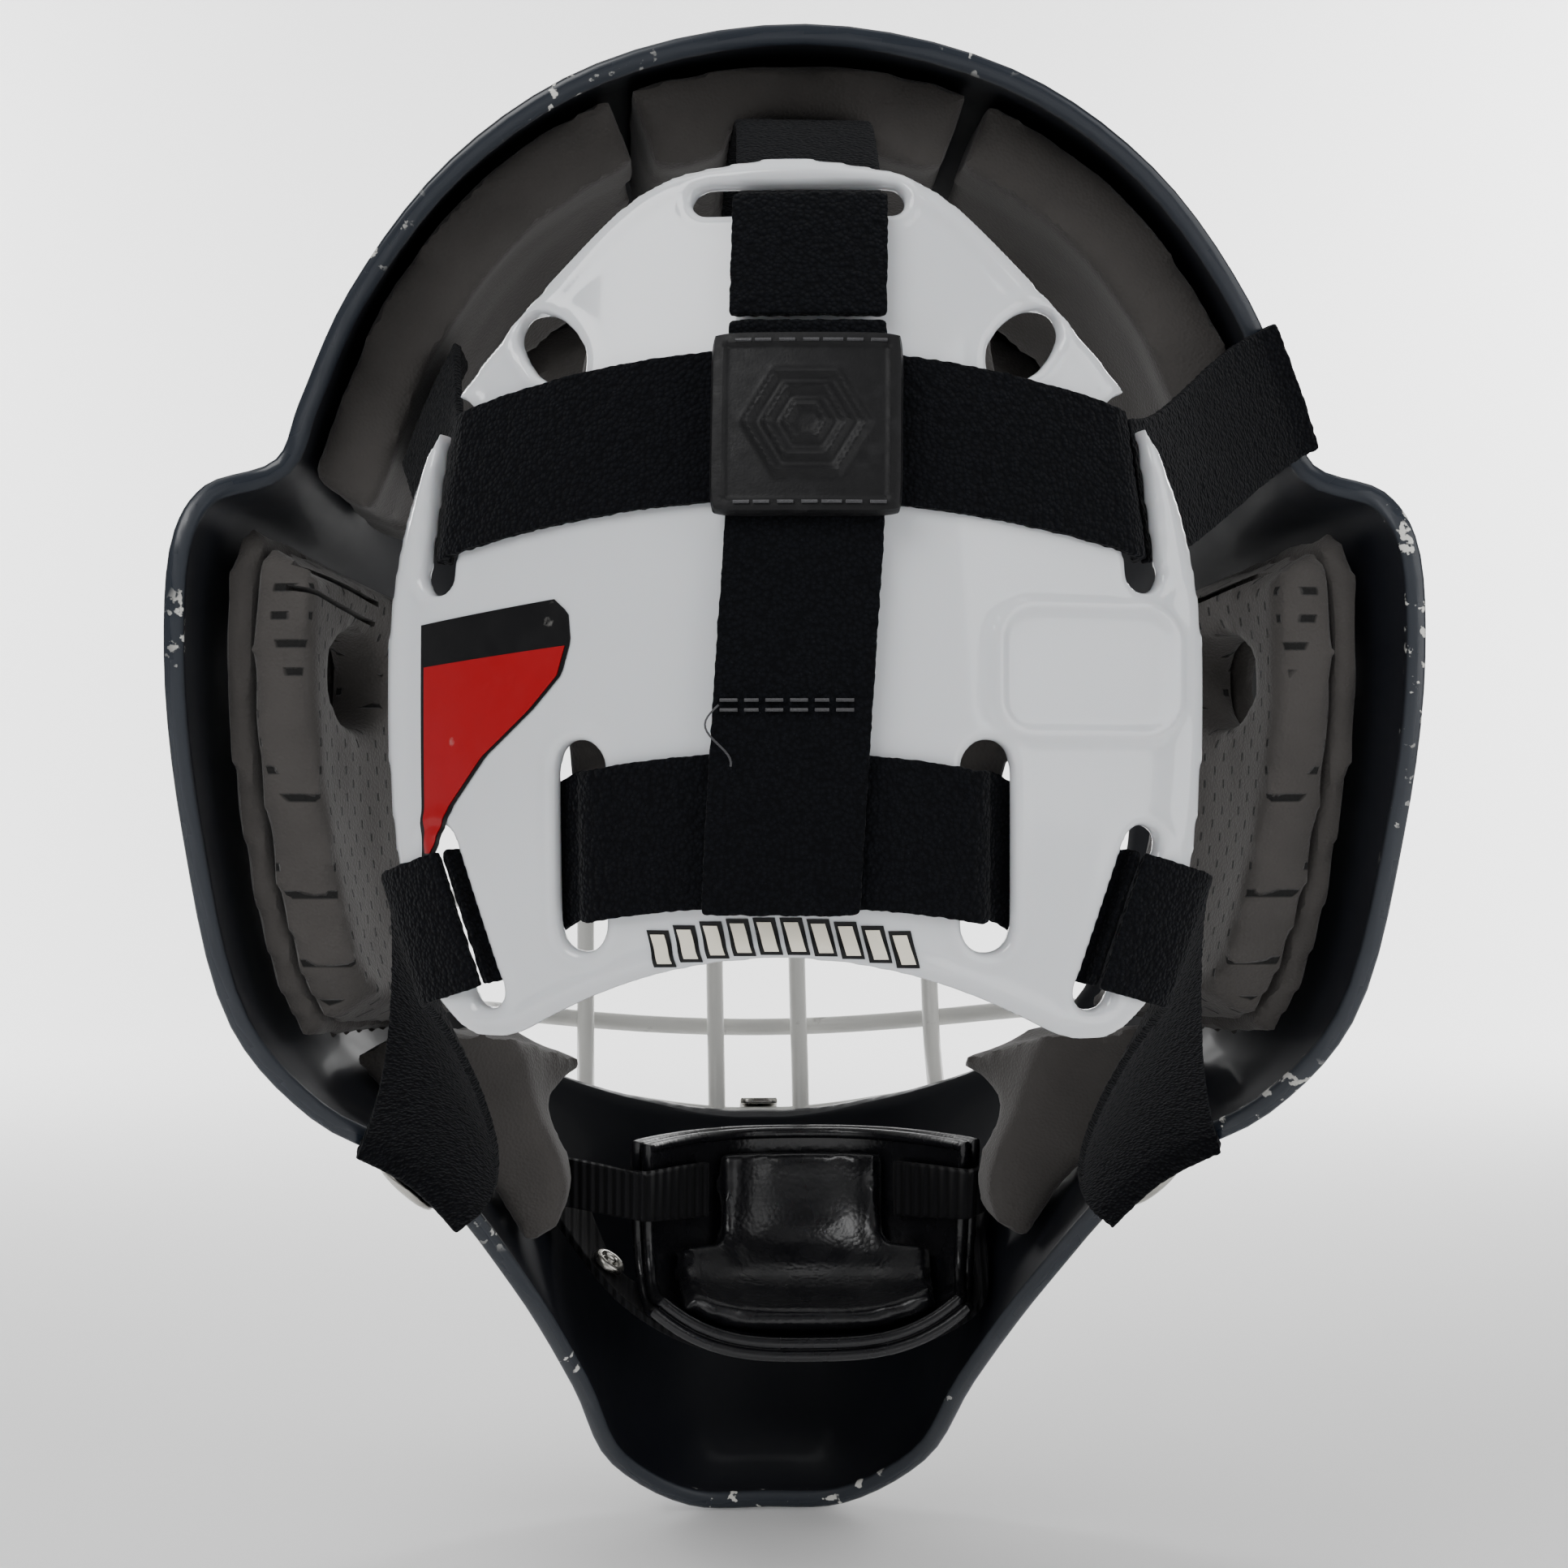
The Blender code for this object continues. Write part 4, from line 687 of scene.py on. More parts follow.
@once
def moulded_rubber():
    """Soft rubber from a mould: dull black with faint patches of dust."""
    look = finishes()
    made, tree, shader, coords = start_material("moulded_rubber", IOR=1.5,
                                                Specular_IOR_Level=0.25)
    dust = add_node(tree, "MapRange",
                    [add_node(tree, "TexNoise",
                              {"Vector": coords, "Scale": 1 / 0.004, "Detail": 5.0}), 0.55, 0.8,
                     0.0, 0.15])
    tone = add_node(tree, "Mix", {0: dust, 6: look.rubber, 7: linear("#3b3b3d")}, take=2,
                    data_type="RGBA")
    rough = add_node(tree, "MapRange",
                     [add_node(tree, "TexNoise", {"Vector": coords, "Scale": 1 / 0.002}), 0.3, 0.7,
                      0.45, 0.6])
    finish_material(tree, shader, tone, rough,
                    add_node(tree, "TexNoise", {"Vector": coords, "Scale": 1 / 0.0005}), 0.00005)
    return made


@once
def powder_coated_wire():
    """Steel wire under baked powder: a pale even coat with a fine texture."""
    look = finishes()
    made, tree, shader, coords = start_material("powder_coated_wire", IOR=1.5, Coat_Weight=0.15)
    marks = add_node(tree, "MapRange",
                     [add_node(tree, "TexNoise",
                               {"Vector": coords, "Scale": 1 / 0.006, "Detail": 6.0}), 0.66, 0.72,
                      0.0, 0.5])
    tone = add_node(tree, "Mix", {0: marks, 6: look.wire, 7: linear("#7d7b76")}, take=2,
                    data_type="RGBA")
    rough = add_node(tree, "MapRange",
                     [add_node(tree, "TexNoise", {"Vector": coords, "Scale": 1 / 0.004}), 0.3, 0.7,
                      0.30, 0.42])
    finish_material(tree, shader, tone, rough,
                    add_node(tree, "TexNoise", {"Vector": coords, "Scale": 1 / 0.0006}), 0.00004)
    return made


@once
def nickel_plated_steel():
    """Pressed steel with bright nickel on it: clear reflections, hazed where handled."""
    look = finishes()
    made, tree, shader, coords = start_material("nickel_plated_steel", Metallic=1.0)
    haze = add_node(tree, "MapRange",
                    [add_node(tree, "TexNoise",
                              {"Vector": coords, "Scale": 1 / 0.003, "Detail": 5.0}), 0.3, 0.7,
                     0.16, 0.36])
    tone = add_node(tree, "Mix",
                    {0: add_node(tree, "TexNoise", {"Vector": coords, "Scale": 1 / 0.005}),
                     6: look.steel, 7: linear("#9b9890")}, take=2, data_type="RGBA")
    finish_material(tree, shader, tone, haze,
                    add_node(tree, "TexNoise", {"Vector": coords, "Scale": 1 / 0.0008}), 0.00002)
    return made


def printed_vinyl(name, tint):
    """Thin printed vinyl film: even colour with a soft gloss and a few rubbed places."""
    made, tree, shader, coords = start_material(name, IOR=1.5, Specular_IOR_Level=0.25)
    rubbed = add_node(tree, "MapRange",
                      [add_node(tree, "TexNoise",
                                {"Vector": coords, "Scale": 1 / 0.005, "Detail": 6.0}), 0.70, 0.78,
                       0.0, 0.2])
    tone = add_node(tree, "Mix", {0: rubbed, 6: tint, 7: linear("#e8e6e0")}, take=2,
                    data_type="RGBA")
    rough = add_node(tree, "MapRange",
                     [add_node(tree, "TexNoise", {"Vector": coords, "Scale": 1 / 0.004}), 0.3, 0.7,
                      0.28, 0.4])
    finish_material(tree, shader, tone, rough,
                    add_node(tree, "TexNoise", {"Vector": coords, "Scale": 1 / 0.002}), 0.00003)
    return made


@once
def label_vinyl():
    return printed_vinyl("label_vinyl", finishes().label)


@once
def ink_vinyl():
    return printed_vinyl("ink_vinyl", finishes().ink)


@once
def cream_vinyl():
    return printed_vinyl("cream_vinyl", finishes().cream)


@once
def twisted_thread():
    """Bonded polyester thread: a tight twist that catches a little light, its raised parts also
    painted paler as a highlight.
    """
    made, tree, shader, coords = start_material("twisted_thread", Roughness=0.55, IOR=1.5,
                                                Sheen_Weight=0.2)
    twist = add_node(tree, "TexNoise", {"Vector": coords, "Scale": 1 / 0.0004})
    # Painted highlight: the twist's raised parts are paler, by the same noise as its bump
    finish_material(tree, shader,
                    add_node(tree, "Mix", {0: twist, 6: linear("#18181a"), 7: linear("#46464a")},
                             take=2, data_type="RGBA"), None, twist, 0.0001)
    return made


@once
def matt_backdrop():
    """Painted studio floor: pale, matt and even."""
    made, tree, shader, coords = start_material("matt_backdrop", Roughness=0.9, IOR=1.45)
    tone = add_node(tree, "Mix",
                    {0: add_node(tree, "TexNoise", {"Vector": coords, "Scale": 1 / 0.4}),
                     6: linear("#f6f6f6"), 7: linear("#f9f9f9")}, take=2, data_type="RGBA")
    finish_material(tree, shader, tone)
    return made


# ---------------------------------------------------------------- shell and cage

def oval_cutter(name, rib, across, radius, stretch, reach=0.012, sides=32):
    point, rearward, normal = shell_frame(rib, across)
    up = normal.cross(rearward).normalized()
    work = bmesh.new()
    bmesh.ops.create_cone(work, cap_ends=True, segments=sides, radius1=radius, radius2=radius,
                          depth=2 * reach)
    placing = Matrix((rearward, up * stretch, normal)).transposed().to_4x4()
    placing.translation = point
    work.transform(placing)
    return new_piece(name, work, None, smooth=False)


def shell_section(rib):
    """The closed section of the shell at a rib: out, round the rear edge, in and round again."""
    outer = [1.0 - (1.0 - share) ** 1.3 for share in steps(0.0, 1.0, 34)]
    half = SHELL_WALL / 2
    points = [shell_point(rib, across) for across in outer]
    for angle in (0.4, 0.8, 1.2, 1.57, 1.94, 2.34, 2.74):
        points.append(shell_point(rib, 1.0, -half + half * math.cos(angle),
                                  0.0009 * math.sin(angle)))
    points += [shell_point(rib, across, -SHELL_WALL) for across in reversed(outer)]
    points += [shell_point(rib, 0.0, -half - half * math.cos(angle), -0.0009 * math.sin(angle))
               for angle in (0.6, 1.57, 2.54)]
    return points


def mark_shell(piece):
    """Stores how far each point is from the rear edge and whether it is on the inside."""
    ribs = steps(-LAST_RIB, LAST_RIB, 500)
    edge, outer, inner = (nearest_tree(points) for points in (
        [shell_point(rib, 1.0, -SHELL_WALL / 2, 0.0009) for rib in ribs],
        [shell_point(rib, across) for rib in ribs[::2] for across in steps(0, 1, 40)],
        [shell_point(rib, across, -SHELL_WALL) for rib in ribs[::2] for across in steps(0, 1, 40)]))
    mesh = piece.data
    far = mesh.attributes.new("edge_distance", "FLOAT", "POINT")
    within = mesh.attributes.new("inside", "FLOAT", "POINT")
    for index, vert in enumerate(mesh.vertices):
        far.data[index].value = edge.find(vert.co)[2]
        within.data[index].value = float(inner.find(vert.co)[2] < outer.find(vert.co)[2])


def nearest_tree(points):
    tree = KDTree(len(points))
    for index, point in enumerate(points):
        tree.insert(point, index)
    tree.balance()
    return tree


def make_shell():
    ribs = steps(0.0, LAST_RIB, LAST_RIB * 5)
    left = [shell_section(rib) for rib in ribs]
    for section in (left[0], left[-1]):
        for point in section:
            point.x = 0.0
    right = [[Vector((-p.x, p.y, p.z)) for p in section] for section in left[-2:0:-1]]
    work = bmesh.new()
    rings = [[work.verts.new(point) for point in section] for section in left + right]
    for low, high in zip(rings, rings[1:] + rings[:1]):
        for index in range(len(low)):
            after = (index + 1) % len(low)
            work.faces.new((low[index], low[after], high[after], high[index]))
    shell = new_piece("painted_shell", work, lacquered_composite())
    cutters = []
    for side in (1, -1):
        cutters.append(oval_cutter("cut_ear", side * 8.0, 0.62, 0.0112, 0.714))
        cutters.append(oval_cutter("cut_brow", side * 1.3, 0.36, 0.0095, 0.421))
        cutters.append(oval_cutter("cut_crown", side * 1.3, 0.55, 0.0095, 0.421))
        cutters.append(oval_cutter("cut_jaw", side * 13.2, 0.30, 0.004, 2.375))
    carve(shell, cutters)
    mark_shell(shell)
    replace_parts(shell, "shell")
    return place(shell, "mask", "shell")


WIRE = 0.0042
CAGE_BULGE = 0.030
CROSS_WIRES = (-0.056, -0.029, -0.002, 0.025)
CROSS_DIP = 0.008
UPRIGHTS = (0.0102, 0.042)
BROW_CLIP_RIB = 2.2


def ring_point(rib):
    return shell_point(rib, 0.03, WIRE / 2 + 0.0010)


def halved(near, far, below):
    """Where below(value) stops being true between near and far."""
    for _ in range(30):
        middle = (near + far) / 2
        if below(middle):
            near = middle
        else:
            far = middle
    return near


def rib_at_height(height):
    return halved(1.0, LAST_RIB - 1.0, lambda rib: ring_point(rib).z > height)


def cage_wire_point(x, height):
    end = ring_point(rib_at_height(height))
    top, chin = ring_point(0.0), ring_point(LAST_RIB)
    ratio = min(abs(x) / end.x, 1.0)
    fall = (top.z - height) / (top.z - chin.z)
    front = top.y + (chin.y - top.y) * fall
    front -= CAGE_BULGE * math.sin(math.pi * min(max(fall, 0.0), 1.0))
    share = (1 - ratio ** 2.3) ** (1 / 1.8)
    dip = CROSS_DIP * (1 - ratio ** 2)
    return Vector((x, end.y + (front - end.y) * share, height + CROSS_DIP / 2 - dip))


def upright_line(x):
    top = ring_point(halved(0.0, 4.0, lambda rib: ring_point(rib).x < x))
    bottom = ring_point(halved(LAST_RIB - 0.01, 11.0, lambda rib: ring_point(rib).x < x))
    line = [top]
    for share in steps(0, 1, 12)[1:-1]:
        height = top.z + (bottom.z - top.z) * share
        spot = cage_wire_point(x, height) + Vector((0, WIRE * 0.7, 0))
        spot.z = height
        line.append(spot)
    return line + [bottom]


def smoothed(line, parts=5, closed=False):
    """The line with points between its own, on a Catmull-Rom curve."""
    count = len(line)
    points = []
    for index in range(count if closed else count - 1):
        if closed:
            a, b, c, d = (line[(index + k) % count] for k in (-1, 0, 1, 2))
        else:
            a, b, c, d = (line[min(max(index + k, 0), count - 1)] for k in (-1, 0, 1, 2))
        for t in (part / parts for part in range(parts)):
            points.append(0.5 * (2 * b + (c - a) * t + (2 * a - 5 * b + 4 * c - d) * t ** 2
                                 + (3 * b - a - 3 * c + d) * t ** 3))
    return points if closed else points + [line[-1]]


def make_cage():
    half = [ring_point(rib) for rib in steps(0.0, LAST_RIB, 68)]
    half[0].x = half[-1].x = 0.0
    other = [Vector((-p.x, p.y, p.z)) for p in half[-2:0:-1]]
    ring = tube("cage_ring", [half + other], WIRE / 2, powder_coated_wire(), cyclic=True, sides=14)
    lines = []
    for height in CROSS_WIRES:
        end = ring_point(rib_at_height(height))
        lines.append([cage_wire_point(end.x * math.sin(math.pi / 2 * s), height)
                      for s in steps(-1.0, 1.0, 60)])
    for x in UPRIGHTS:
        line = smoothed(upright_line(x))
        lines += [line, [Vector((-p.x, p.y, p.z)) for p in line]]
    wires = tube("cage_wires", lines, WIRE / 2, powder_coated_wire(), sides=14)
    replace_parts(ring, "cage")
    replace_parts(wires, "cage")
    return [place(ring, "mask", "cage"), place(wires, "mask", "cage")]


# ---------------------------------------------------------------- fittings

def spindle(name, origin, axis, profile, material, sides=40, recess=0.0):
    """A turned fitting through (distance along its axis, radius) pairs, its corners eased, and
    with a cross recess of that reach where it is driven."""
    work = bmesh.new()
    rings = [[work.verts.new((radius * math.cos(2 * math.pi * k / sides),
                              radius * math.sin(2 * math.pi * k / sides), along))
              for k in range(sides)] for along, radius in profile]
    for low, high in zip(rings, rings[1:]):
        for k in range(sides):
            after = (k + 1) % sides
            work.faces.new((low[k], low[after], high[after], high[k]))
    work.faces.new(rings[0][::-1])
    work.faces.new(rings[-1])
    turn = Vector((0, 0, 1)).rotation_difference(axis).to_matrix().to_4x4()
    where = Matrix.Translation(origin) @ turn
    work.transform(where)
    piece = new_piece(name, work, material)
    modify(piece, "BEVEL", width=0.00025, segments=2, limit_method="ANGLE",
           angle_limit=math.radians(35))
    applied(piece)
    if recess:
        top = where @ Vector((0, 0, profile[-1][0]))
        across = [(turn @ Vector(way)).to_3d() for way in ((1, 0, 0), (0, 1, 0), (0, 0, 1))]
        deep = recess * 0.6
        carve(piece, [box_cutter("cut_recess", top, across, (recess, recess * 0.22, deep)),
                      box_cutter("cut_recess", top, across, (recess * 0.22, recess, deep))])
    return piece


def fitting(node, origin, axis, profile, body, recess=0.0, slot="steel"):
    piece = spindle("turned_" + node, origin, axis, profile, nickel_plated_steel(), recess=recess)
    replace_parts(piece, node)
    return place(piece, body, slot)


def domed(start, radius, height):
    """A profile of a head that starts flat-sided and closes in a dome."""
    rounds = [(start + height * (0.35 + 0.65 * math.sin(a)), radius * (0.25 + 0.75 * math.cos(a)))
              for a in (0.0, 0.3, 0.6, 0.9, 1.2, 1.5)]
    return [(start, radius)] + rounds


TOUCH = 0.0003
FLAT_ON_ROUND = 0.0008
WEB = 0.0258
WEB_THICKNESS = 0.0016
LAY = TOUCH + WEB_THICKNESS / 2
WEB_BOW = 0.0014
BOLT_PLACES = (("crown", 0.0, 0.49), ("upper_right", -4.0, 0.84), ("lower_left", 11.95, 0.84),
               ("lower_right", -11.95, 0.84))


def clip_places():
    side = rib_at_height((CROSS_WIRES[1] + CROSS_WIRES[2] + CROSS_DIP) / 2)
    places = [("chin", float(LAST_RIB))]
    for word, rib in (("brow", BROW_CLIP_RIB), ("side", side)):
        places += [(word + "_left", rib), (word + "_right", -rib)]
    return places


def clip_across(rib):
    start = shell_point(rib, 0.03)
    across = 0.03
    while (shell_point(rib, across) - start).length < 0.0135:
        across += 0.002
    return across


def make_clips():
    seat = FLAT_ON_ROUND + 0.0014 + TOUCH
    for word, rib in clip_places():
        across = clip_across(rib)
        point, _, normal = shell_frame(rib, across)
        place(rounded("cage_clip_" + word, nickel_plated_steel()), "mask", "steel")
        fitting("cage_screw_" + word, point, normal, [(-SHELL_WALL + TOUCH, 0.0022), (seat, 0.0022)]
                + domed(seat, 0.0042, 0.0022), "mask", 0.0021)
        near = SHELL_WALL + FLAT_ON_ROUND
        fitting("cage_nut_" + word, point, -normal, [(near, 0.0050), (near + 0.0011, 0.0042)],
                "mask")


def make_bolts():
    for word, rib, across in BOLT_PLACES:
        point, _, normal = shell_frame(rib, across)
        crown = word == "crown"
        seat = TOUCH if crown else FLAT_ON_ROUND + 2 * LAY + TOUCH
        end = -SHELL_WALL - (2 * LAY + WEB_BOW if crown else -TOUCH)
        fitting("strap_bolt_" + word, point, normal, [(end, 0.0022), (seat, 0.0022)]
                + domed(seat, 0.0075, 0.0022), "mask", 0.0030)
        near = SHELL_WALL + FLAT_ON_ROUND + (2 * LAY + WEB_BOW if crown else 0.0)
        fitting("strap_nut_" + word, point, -normal, [(near, 0.0050), (near + 0.0011, 0.0042)],
                "mask")
    for side, word in ((1, "left"), (-1, "right")):
        point, _, normal = shell_frame(side * 12.95, 0.50)
        hub = point - normal * (SHELL_WALL + FLAT_ON_ROUND)
        fitting("chin_anchor_" + word, hub, -normal,
                [(0.0, 0.0060), (0.0008, 0.0060), (0.0013, 0.0052), (0.0018, 0.0040)], "mask")


# ---------------------------------------------------------------- foam

def slit_cutter(rib, across, depth, half_long, half_wide):
    """A thin blade across a pad from its face, at a place on the shell."""
    point, rearward, normal = shell_frame(rib, across)
    up = normal.cross(rearward).normalized()
    return box_cutter("cut_slit", point - normal * depth, (rearward, up, normal),
                      (half_long, half_wide, 0.0045))


CHEEK_SLITS = {1: (6.95, 7.35, 8.75, 9.2, 9.9), -1: (6.75, 9.05, 9.9)}


def make_pads():
    for seed, node in enumerate(("top_pad", "temple_pad_left", "temple_pad_right",
                                 "cheek_base_left", "cheek_base_right", "jaw_pad_left",
                                 "jaw_pad_right", "forehead_pad")):
        place(foam_block(node, skived_foam(), seed), "mask", "foam")
    for side, word in ((1, "left"), (-1, "right")):
        pad = foam_block("cheek_pad_" + word, perforated_foam(), 20 + side)
        carve(pad, [slit_cutter(side * rib, 0.80, 0.026, 0.022, 0.00055)
                    for rib in CHEEK_SLITS[side]])
        place(pad, "mask", "foam")
    band = copy_of("sweatband")
    swell(band, 0.0020, 0.0012)
    give(band, "terry_sweatband", terry_elastic())
    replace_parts(band, "sweatband")
    place(band, "mask", "sweatband")
    place(foam_block("plate_liner", skived_foam(), 30), "back_plate", "foam")


def copy_of(node):
    work = bmesh.new()
    work.from_mesh(NODES[node].data)
    bmesh.ops.remove_doubles(work, verts=work.verts, dist=0.000002)
    return new_piece("copy_" + node, work, None)


def give(piece, name, material):
    piece.name = name
    piece.data.name = name
    piece.data.materials.clear()
    piece.data.materials.append(material)


# ---------------------------------------------------------------- back plate

BAND = WEB / 2 + 0.0012


def slot_shape(start, end, width, sides=10):
    start, end = Vector(start), Vector(end)
    along = (end - start).normalized()
    turn = math.atan2(along.y, along.x)
    points = []
    for middle, first in ((end, turn - math.pi / 2), (start, turn + math.pi / 2)):
        points += [(middle.x + width / 2 * math.cos(first + math.pi * k / sides),
                    middle.y + width / 2 * math.sin(first + math.pi * k / sides))
                   for k in range(sides + 1)]
    return points


def upper_slot_x(z):
    return 0.0603 - (z - 0.0505) * 0.136


@functools.cache
def plate_shape():
    """(outline, openings) of the plate, in its own x and z."""
    half = [Vector((x * MM, z * MM, 0)) for x, z in PLATE_OUTLINE]
    foot = half[-1].x
    half += [Vector((x, -0.0298 - 6.3 * x * x, 0)) for x in steps(foot * 0.88, 0.0, 6)]
    loop = half + [Vector((-p.x, p.y, 0)) for p in half[-2:0:-1]]
    outline = [(p.x, p.y) for p in smoothed(loop, 4, closed=True)]
    openings = [slot_shape((-0.0020 + BAND + 0.0018, 0.101), (-0.0020 - BAND - 0.0018, 0.101),
                           0.0055)]
    high, low = 0.0505 + BAND, 0.0505 - BAND
    pairs = [slot_shape((upper_slot_x(high), high), (upper_slot_x(low), low), 0.0065),
             slot_shape((0.0348, -0.0108 + BAND), (0.0348, -0.0108 - BAND), 0.0085),
             slot_shape((0.0618, -0.0105), (0.0530, -0.0365), 0.0065),
             [(0.041 + 0.0058 * math.cos(a) + 0.0028 * math.sin(a), 0.0757 + 0.0068 * math.sin(a))
              for a in (2 * math.pi * k / 32 for k in range(32))]]
    for pair in pairs:
        openings += [pair, [(-x, z) for x, z in pair]]
    return outline, openings


def flat_prism(name, outline, low, high):
    work = bmesh.new()
    rings = [[work.verts.new((x, z, depth)) for x, z in outline] for depth in (low, high)]
    for index in range(len(outline)):
        after = (index + 1) % len(outline)
        work.faces.new((rings[0][index], rings[0][after], rings[1][after], rings[1][index]))
    work.faces.new(rings[0][::-1])
    work.faces.new(rings[1])
    return new_piece(name, work, None, smooth=False)


def distance_to(points, outline):
    """Distance of each of the points from a closed outline."""
    start = np.array(outline)
    way = np.roll(start, -1, axis=0) - start
    best = np.full(len(points), 9.0)
    for a, d in zip(start, way):
        size = max(d @ d, 1e-12)
        t = np.clip(((points - a) @ d) / size, 0, 1)
        best = np.minimum(best, np.linalg.norm(points - a - t[:, None] * d, axis=1))
    return best


def ridge(distance, middle, width, height):
    return height * np.exp(-((distance - middle) / width) ** 2)


def pocket_distance(points, centre, half, radius=0.006):
    q = np.abs(points - np.array(centre)) - (np.array(half) - radius)
    return np.linalg.norm(np.maximum(q, 0), axis=1) + np.minimum(q.max(axis=1), 0) - radius


def plate_lift(spots):
    """How far the rolled rim, the slots' lips and the pocket stand over the plate's face."""
    outline, openings = plate_shape()
    lift = ridge(distance_to(spots, outline), 0.0026, 0.0016, sizes().plate_rim)
    for opening in openings:
        lift += ridge(distance_to(spots, opening), 0.0016, 0.0011, 0.0004)
    reach = pocket_distance(spots, (-0.052, 0.0195), (0.0155, 0.0110))
    return lift + ridge(reach, 0.0, 0.0013, 0.0013)


def over_plate(spots, out):
    """Points that height over the plate's ridged face."""
    lifts = plate_lift(np.array(spots))
    return [plate_point(x, z, out + float(lift)) for (x, z), lift in zip(spots, lifts)]


def make_back_plate():
    outline, openings = plate_shape()
    plate = flat_prism("moulded_plate", outline, -PLATE_WALL, 0.0)
    carve(plate, [flat_prism("cut_slot", opening, -0.02, 0.02) for opening in openings])
    modify(plate, "REMESH", mode="VOXEL", voxel_size=0.00075)
    modify(plate, "SMOOTH", factor=0.5, iterations=12)
    applied(plate)
    mesh = plate.data
    flat = np.empty(len(mesh.vertices) * 3)
    mesh.vertices.foreach_get("co", flat)
    flat = flat.reshape(-1, 3)
    spots = flat[:, :2]
    lift = plate_lift(spots)
    front = flat[:, 2] > -PLATE_WALL / 2
    heights = flat[:, 2] + np.where(front, lift, 0.0)
    placed = [plate_point(x, z, h) for (x, z), h in zip(spots, heights)]
    mesh.vertices.foreach_set("co", np.array(placed).ravel())
    mesh.update()
    give(plate, "moulded_plate", moulded_polyethylene())
    mesh.shade_smooth()
    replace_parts(plate, "back_plate")
    return place(plate, "back_plate", "plate")


LABEL_CLIMB = 0.14


def patch(name, edges, zs, out, material):
    """A film on the plate between two edges, each a function of z."""
    left, right = edges
    rows = []
    for z in zs:
        xs = [left(z) + (right(z) - left(z)) * share for share in steps(0, 1, 24)]
        # Its top edge climbs towards the plate's middle, and its point stays where it is
        climb = LABEL_CLIMB * min(max((z + 0.0135) / 0.0415, 0.0), 1.0)
        rows.append(over_plate([(x, z + climb * (right(z) - x)) for x in xs], out))
    piece = sheet(name, rows, 0.00018, material)
    return place(piece, "back_plate", "plate")


def make_labels():
    def near(z):
        return float(np.interp(z, (-0.0135, -0.004, 0.004, 0.011, 0.016, 0.021, 0.0255, 0.0280),
                               (0.0628, 0.0585, 0.0520, 0.0430, 0.0378, 0.0362, 0.0366, 0.0392)))

    def far(z):
        return 0.0650
    sheets = (("label_border", -0.0135, 0.0280, 0.0, 0.0002, ink_vinyl()),
              ("plain_label", -0.0122, 0.0205, 0.0008, 0.0004, label_vinyl()))
    for name, low, high, inset, out, material in sheets:
        patch(name, (lambda z: near(z) + inset, lambda z: far(z) - inset), steps(low, high, 44),
              out, material)
    # A row of slanted bars that follows the arch over the plate's foot
    groups = (("bar_outlines", 0.0019, 0.0062, 0.0002, ink_vinyl()),
              ("bars", 0.0012, 0.0048, 0.00045, cream_vinyl()))
    for name, half, tall, out, material in groups:
        work = bmesh.new()
        for middle in steps(-0.0205, 0.0205, 9):
            base = -0.0256 - 5.5 * middle ** 2
            grid = [[work.verts.new(point) for point in over_plate(
                [(middle + half * w + 0.0014 * v, base + tall * v) for w in steps(-1, 1, 4)], out)]
                for v in steps(-0.5, 0.5, 8)]
            for low, high in zip(grid, grid[1:]):
                for a, b, c, d in zip(low, low[1:], high[1:], high):
                    work.faces.new((a, b, c, d))
        piece = new_piece(name, work, material)
        modify(piece, "SOLIDIFY", thickness=0.00018, offset=0.0)
        place(applied(piece), "back_plate", "plate")


# ---------------------------------------------------------------- harness

BADGE_X, BADGE_Z, BADGE_SIZE = -0.0042, 0.0594, 0.0305
BADGE_LIFT = 3 * LAY + WEB_THICKNESS / 2 + TOUCH


def terry(node, levels=4):
    strap = rounded(node, terry_elastic(), levels=levels, crease=0.5,
                    name="terry_" + node)
    roughen(strap, 0.00022, sizes().loop * 1.5, 3.0)
    return strap


def make_harness():
    for node in ("upper_strap", "lower_strap", "vertical_strap_upper", "vertical_strap_lower"):
        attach(terry(node), "back_plate")
    far = {"top_strap": ((0.0, -0.02, 0.13), plate_point(0, 0.101)),
           "upper_strap_left": (shell_point(3.6, 0.97, -0.015), plate_point(0.064, 0.055)),
           "upper_strap_right": (shell_point(-4.0, 1.0), plate_point(-0.064, 0.055)),
           "lower_strap_left": (shell_point(11.95, 1.0), plate_point(0.070, -0.030)),
           "lower_strap_right": (shell_point(-11.95, 1.0), plate_point(-0.070, -0.030))}
    for node, (start, end) in far.items():
        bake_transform(terry(node))


def hexagon(u, v):
    """How far a place is from the middle, measured so that equal values make hexagons."""
    return max(abs(u) * 0.866 + abs(v) * 0.5, abs(v))


def badge_height(u, v):
    edge = 1.0 - max(abs(u), abs(v))
    height = 0.0013
    if edge > 0.14:
        height -= 0.0006 * min((edge - 0.14) / 0.03, 1.0)
    for middle in (0.18, 0.36, 0.54):
        height += 0.0009 * math.exp(-((hexagon(u, v) - middle) / 0.045) ** 2)
    return 0.0013 + height - 0.0012 * max(0.0, 1 - edge / 0.05) ** 2


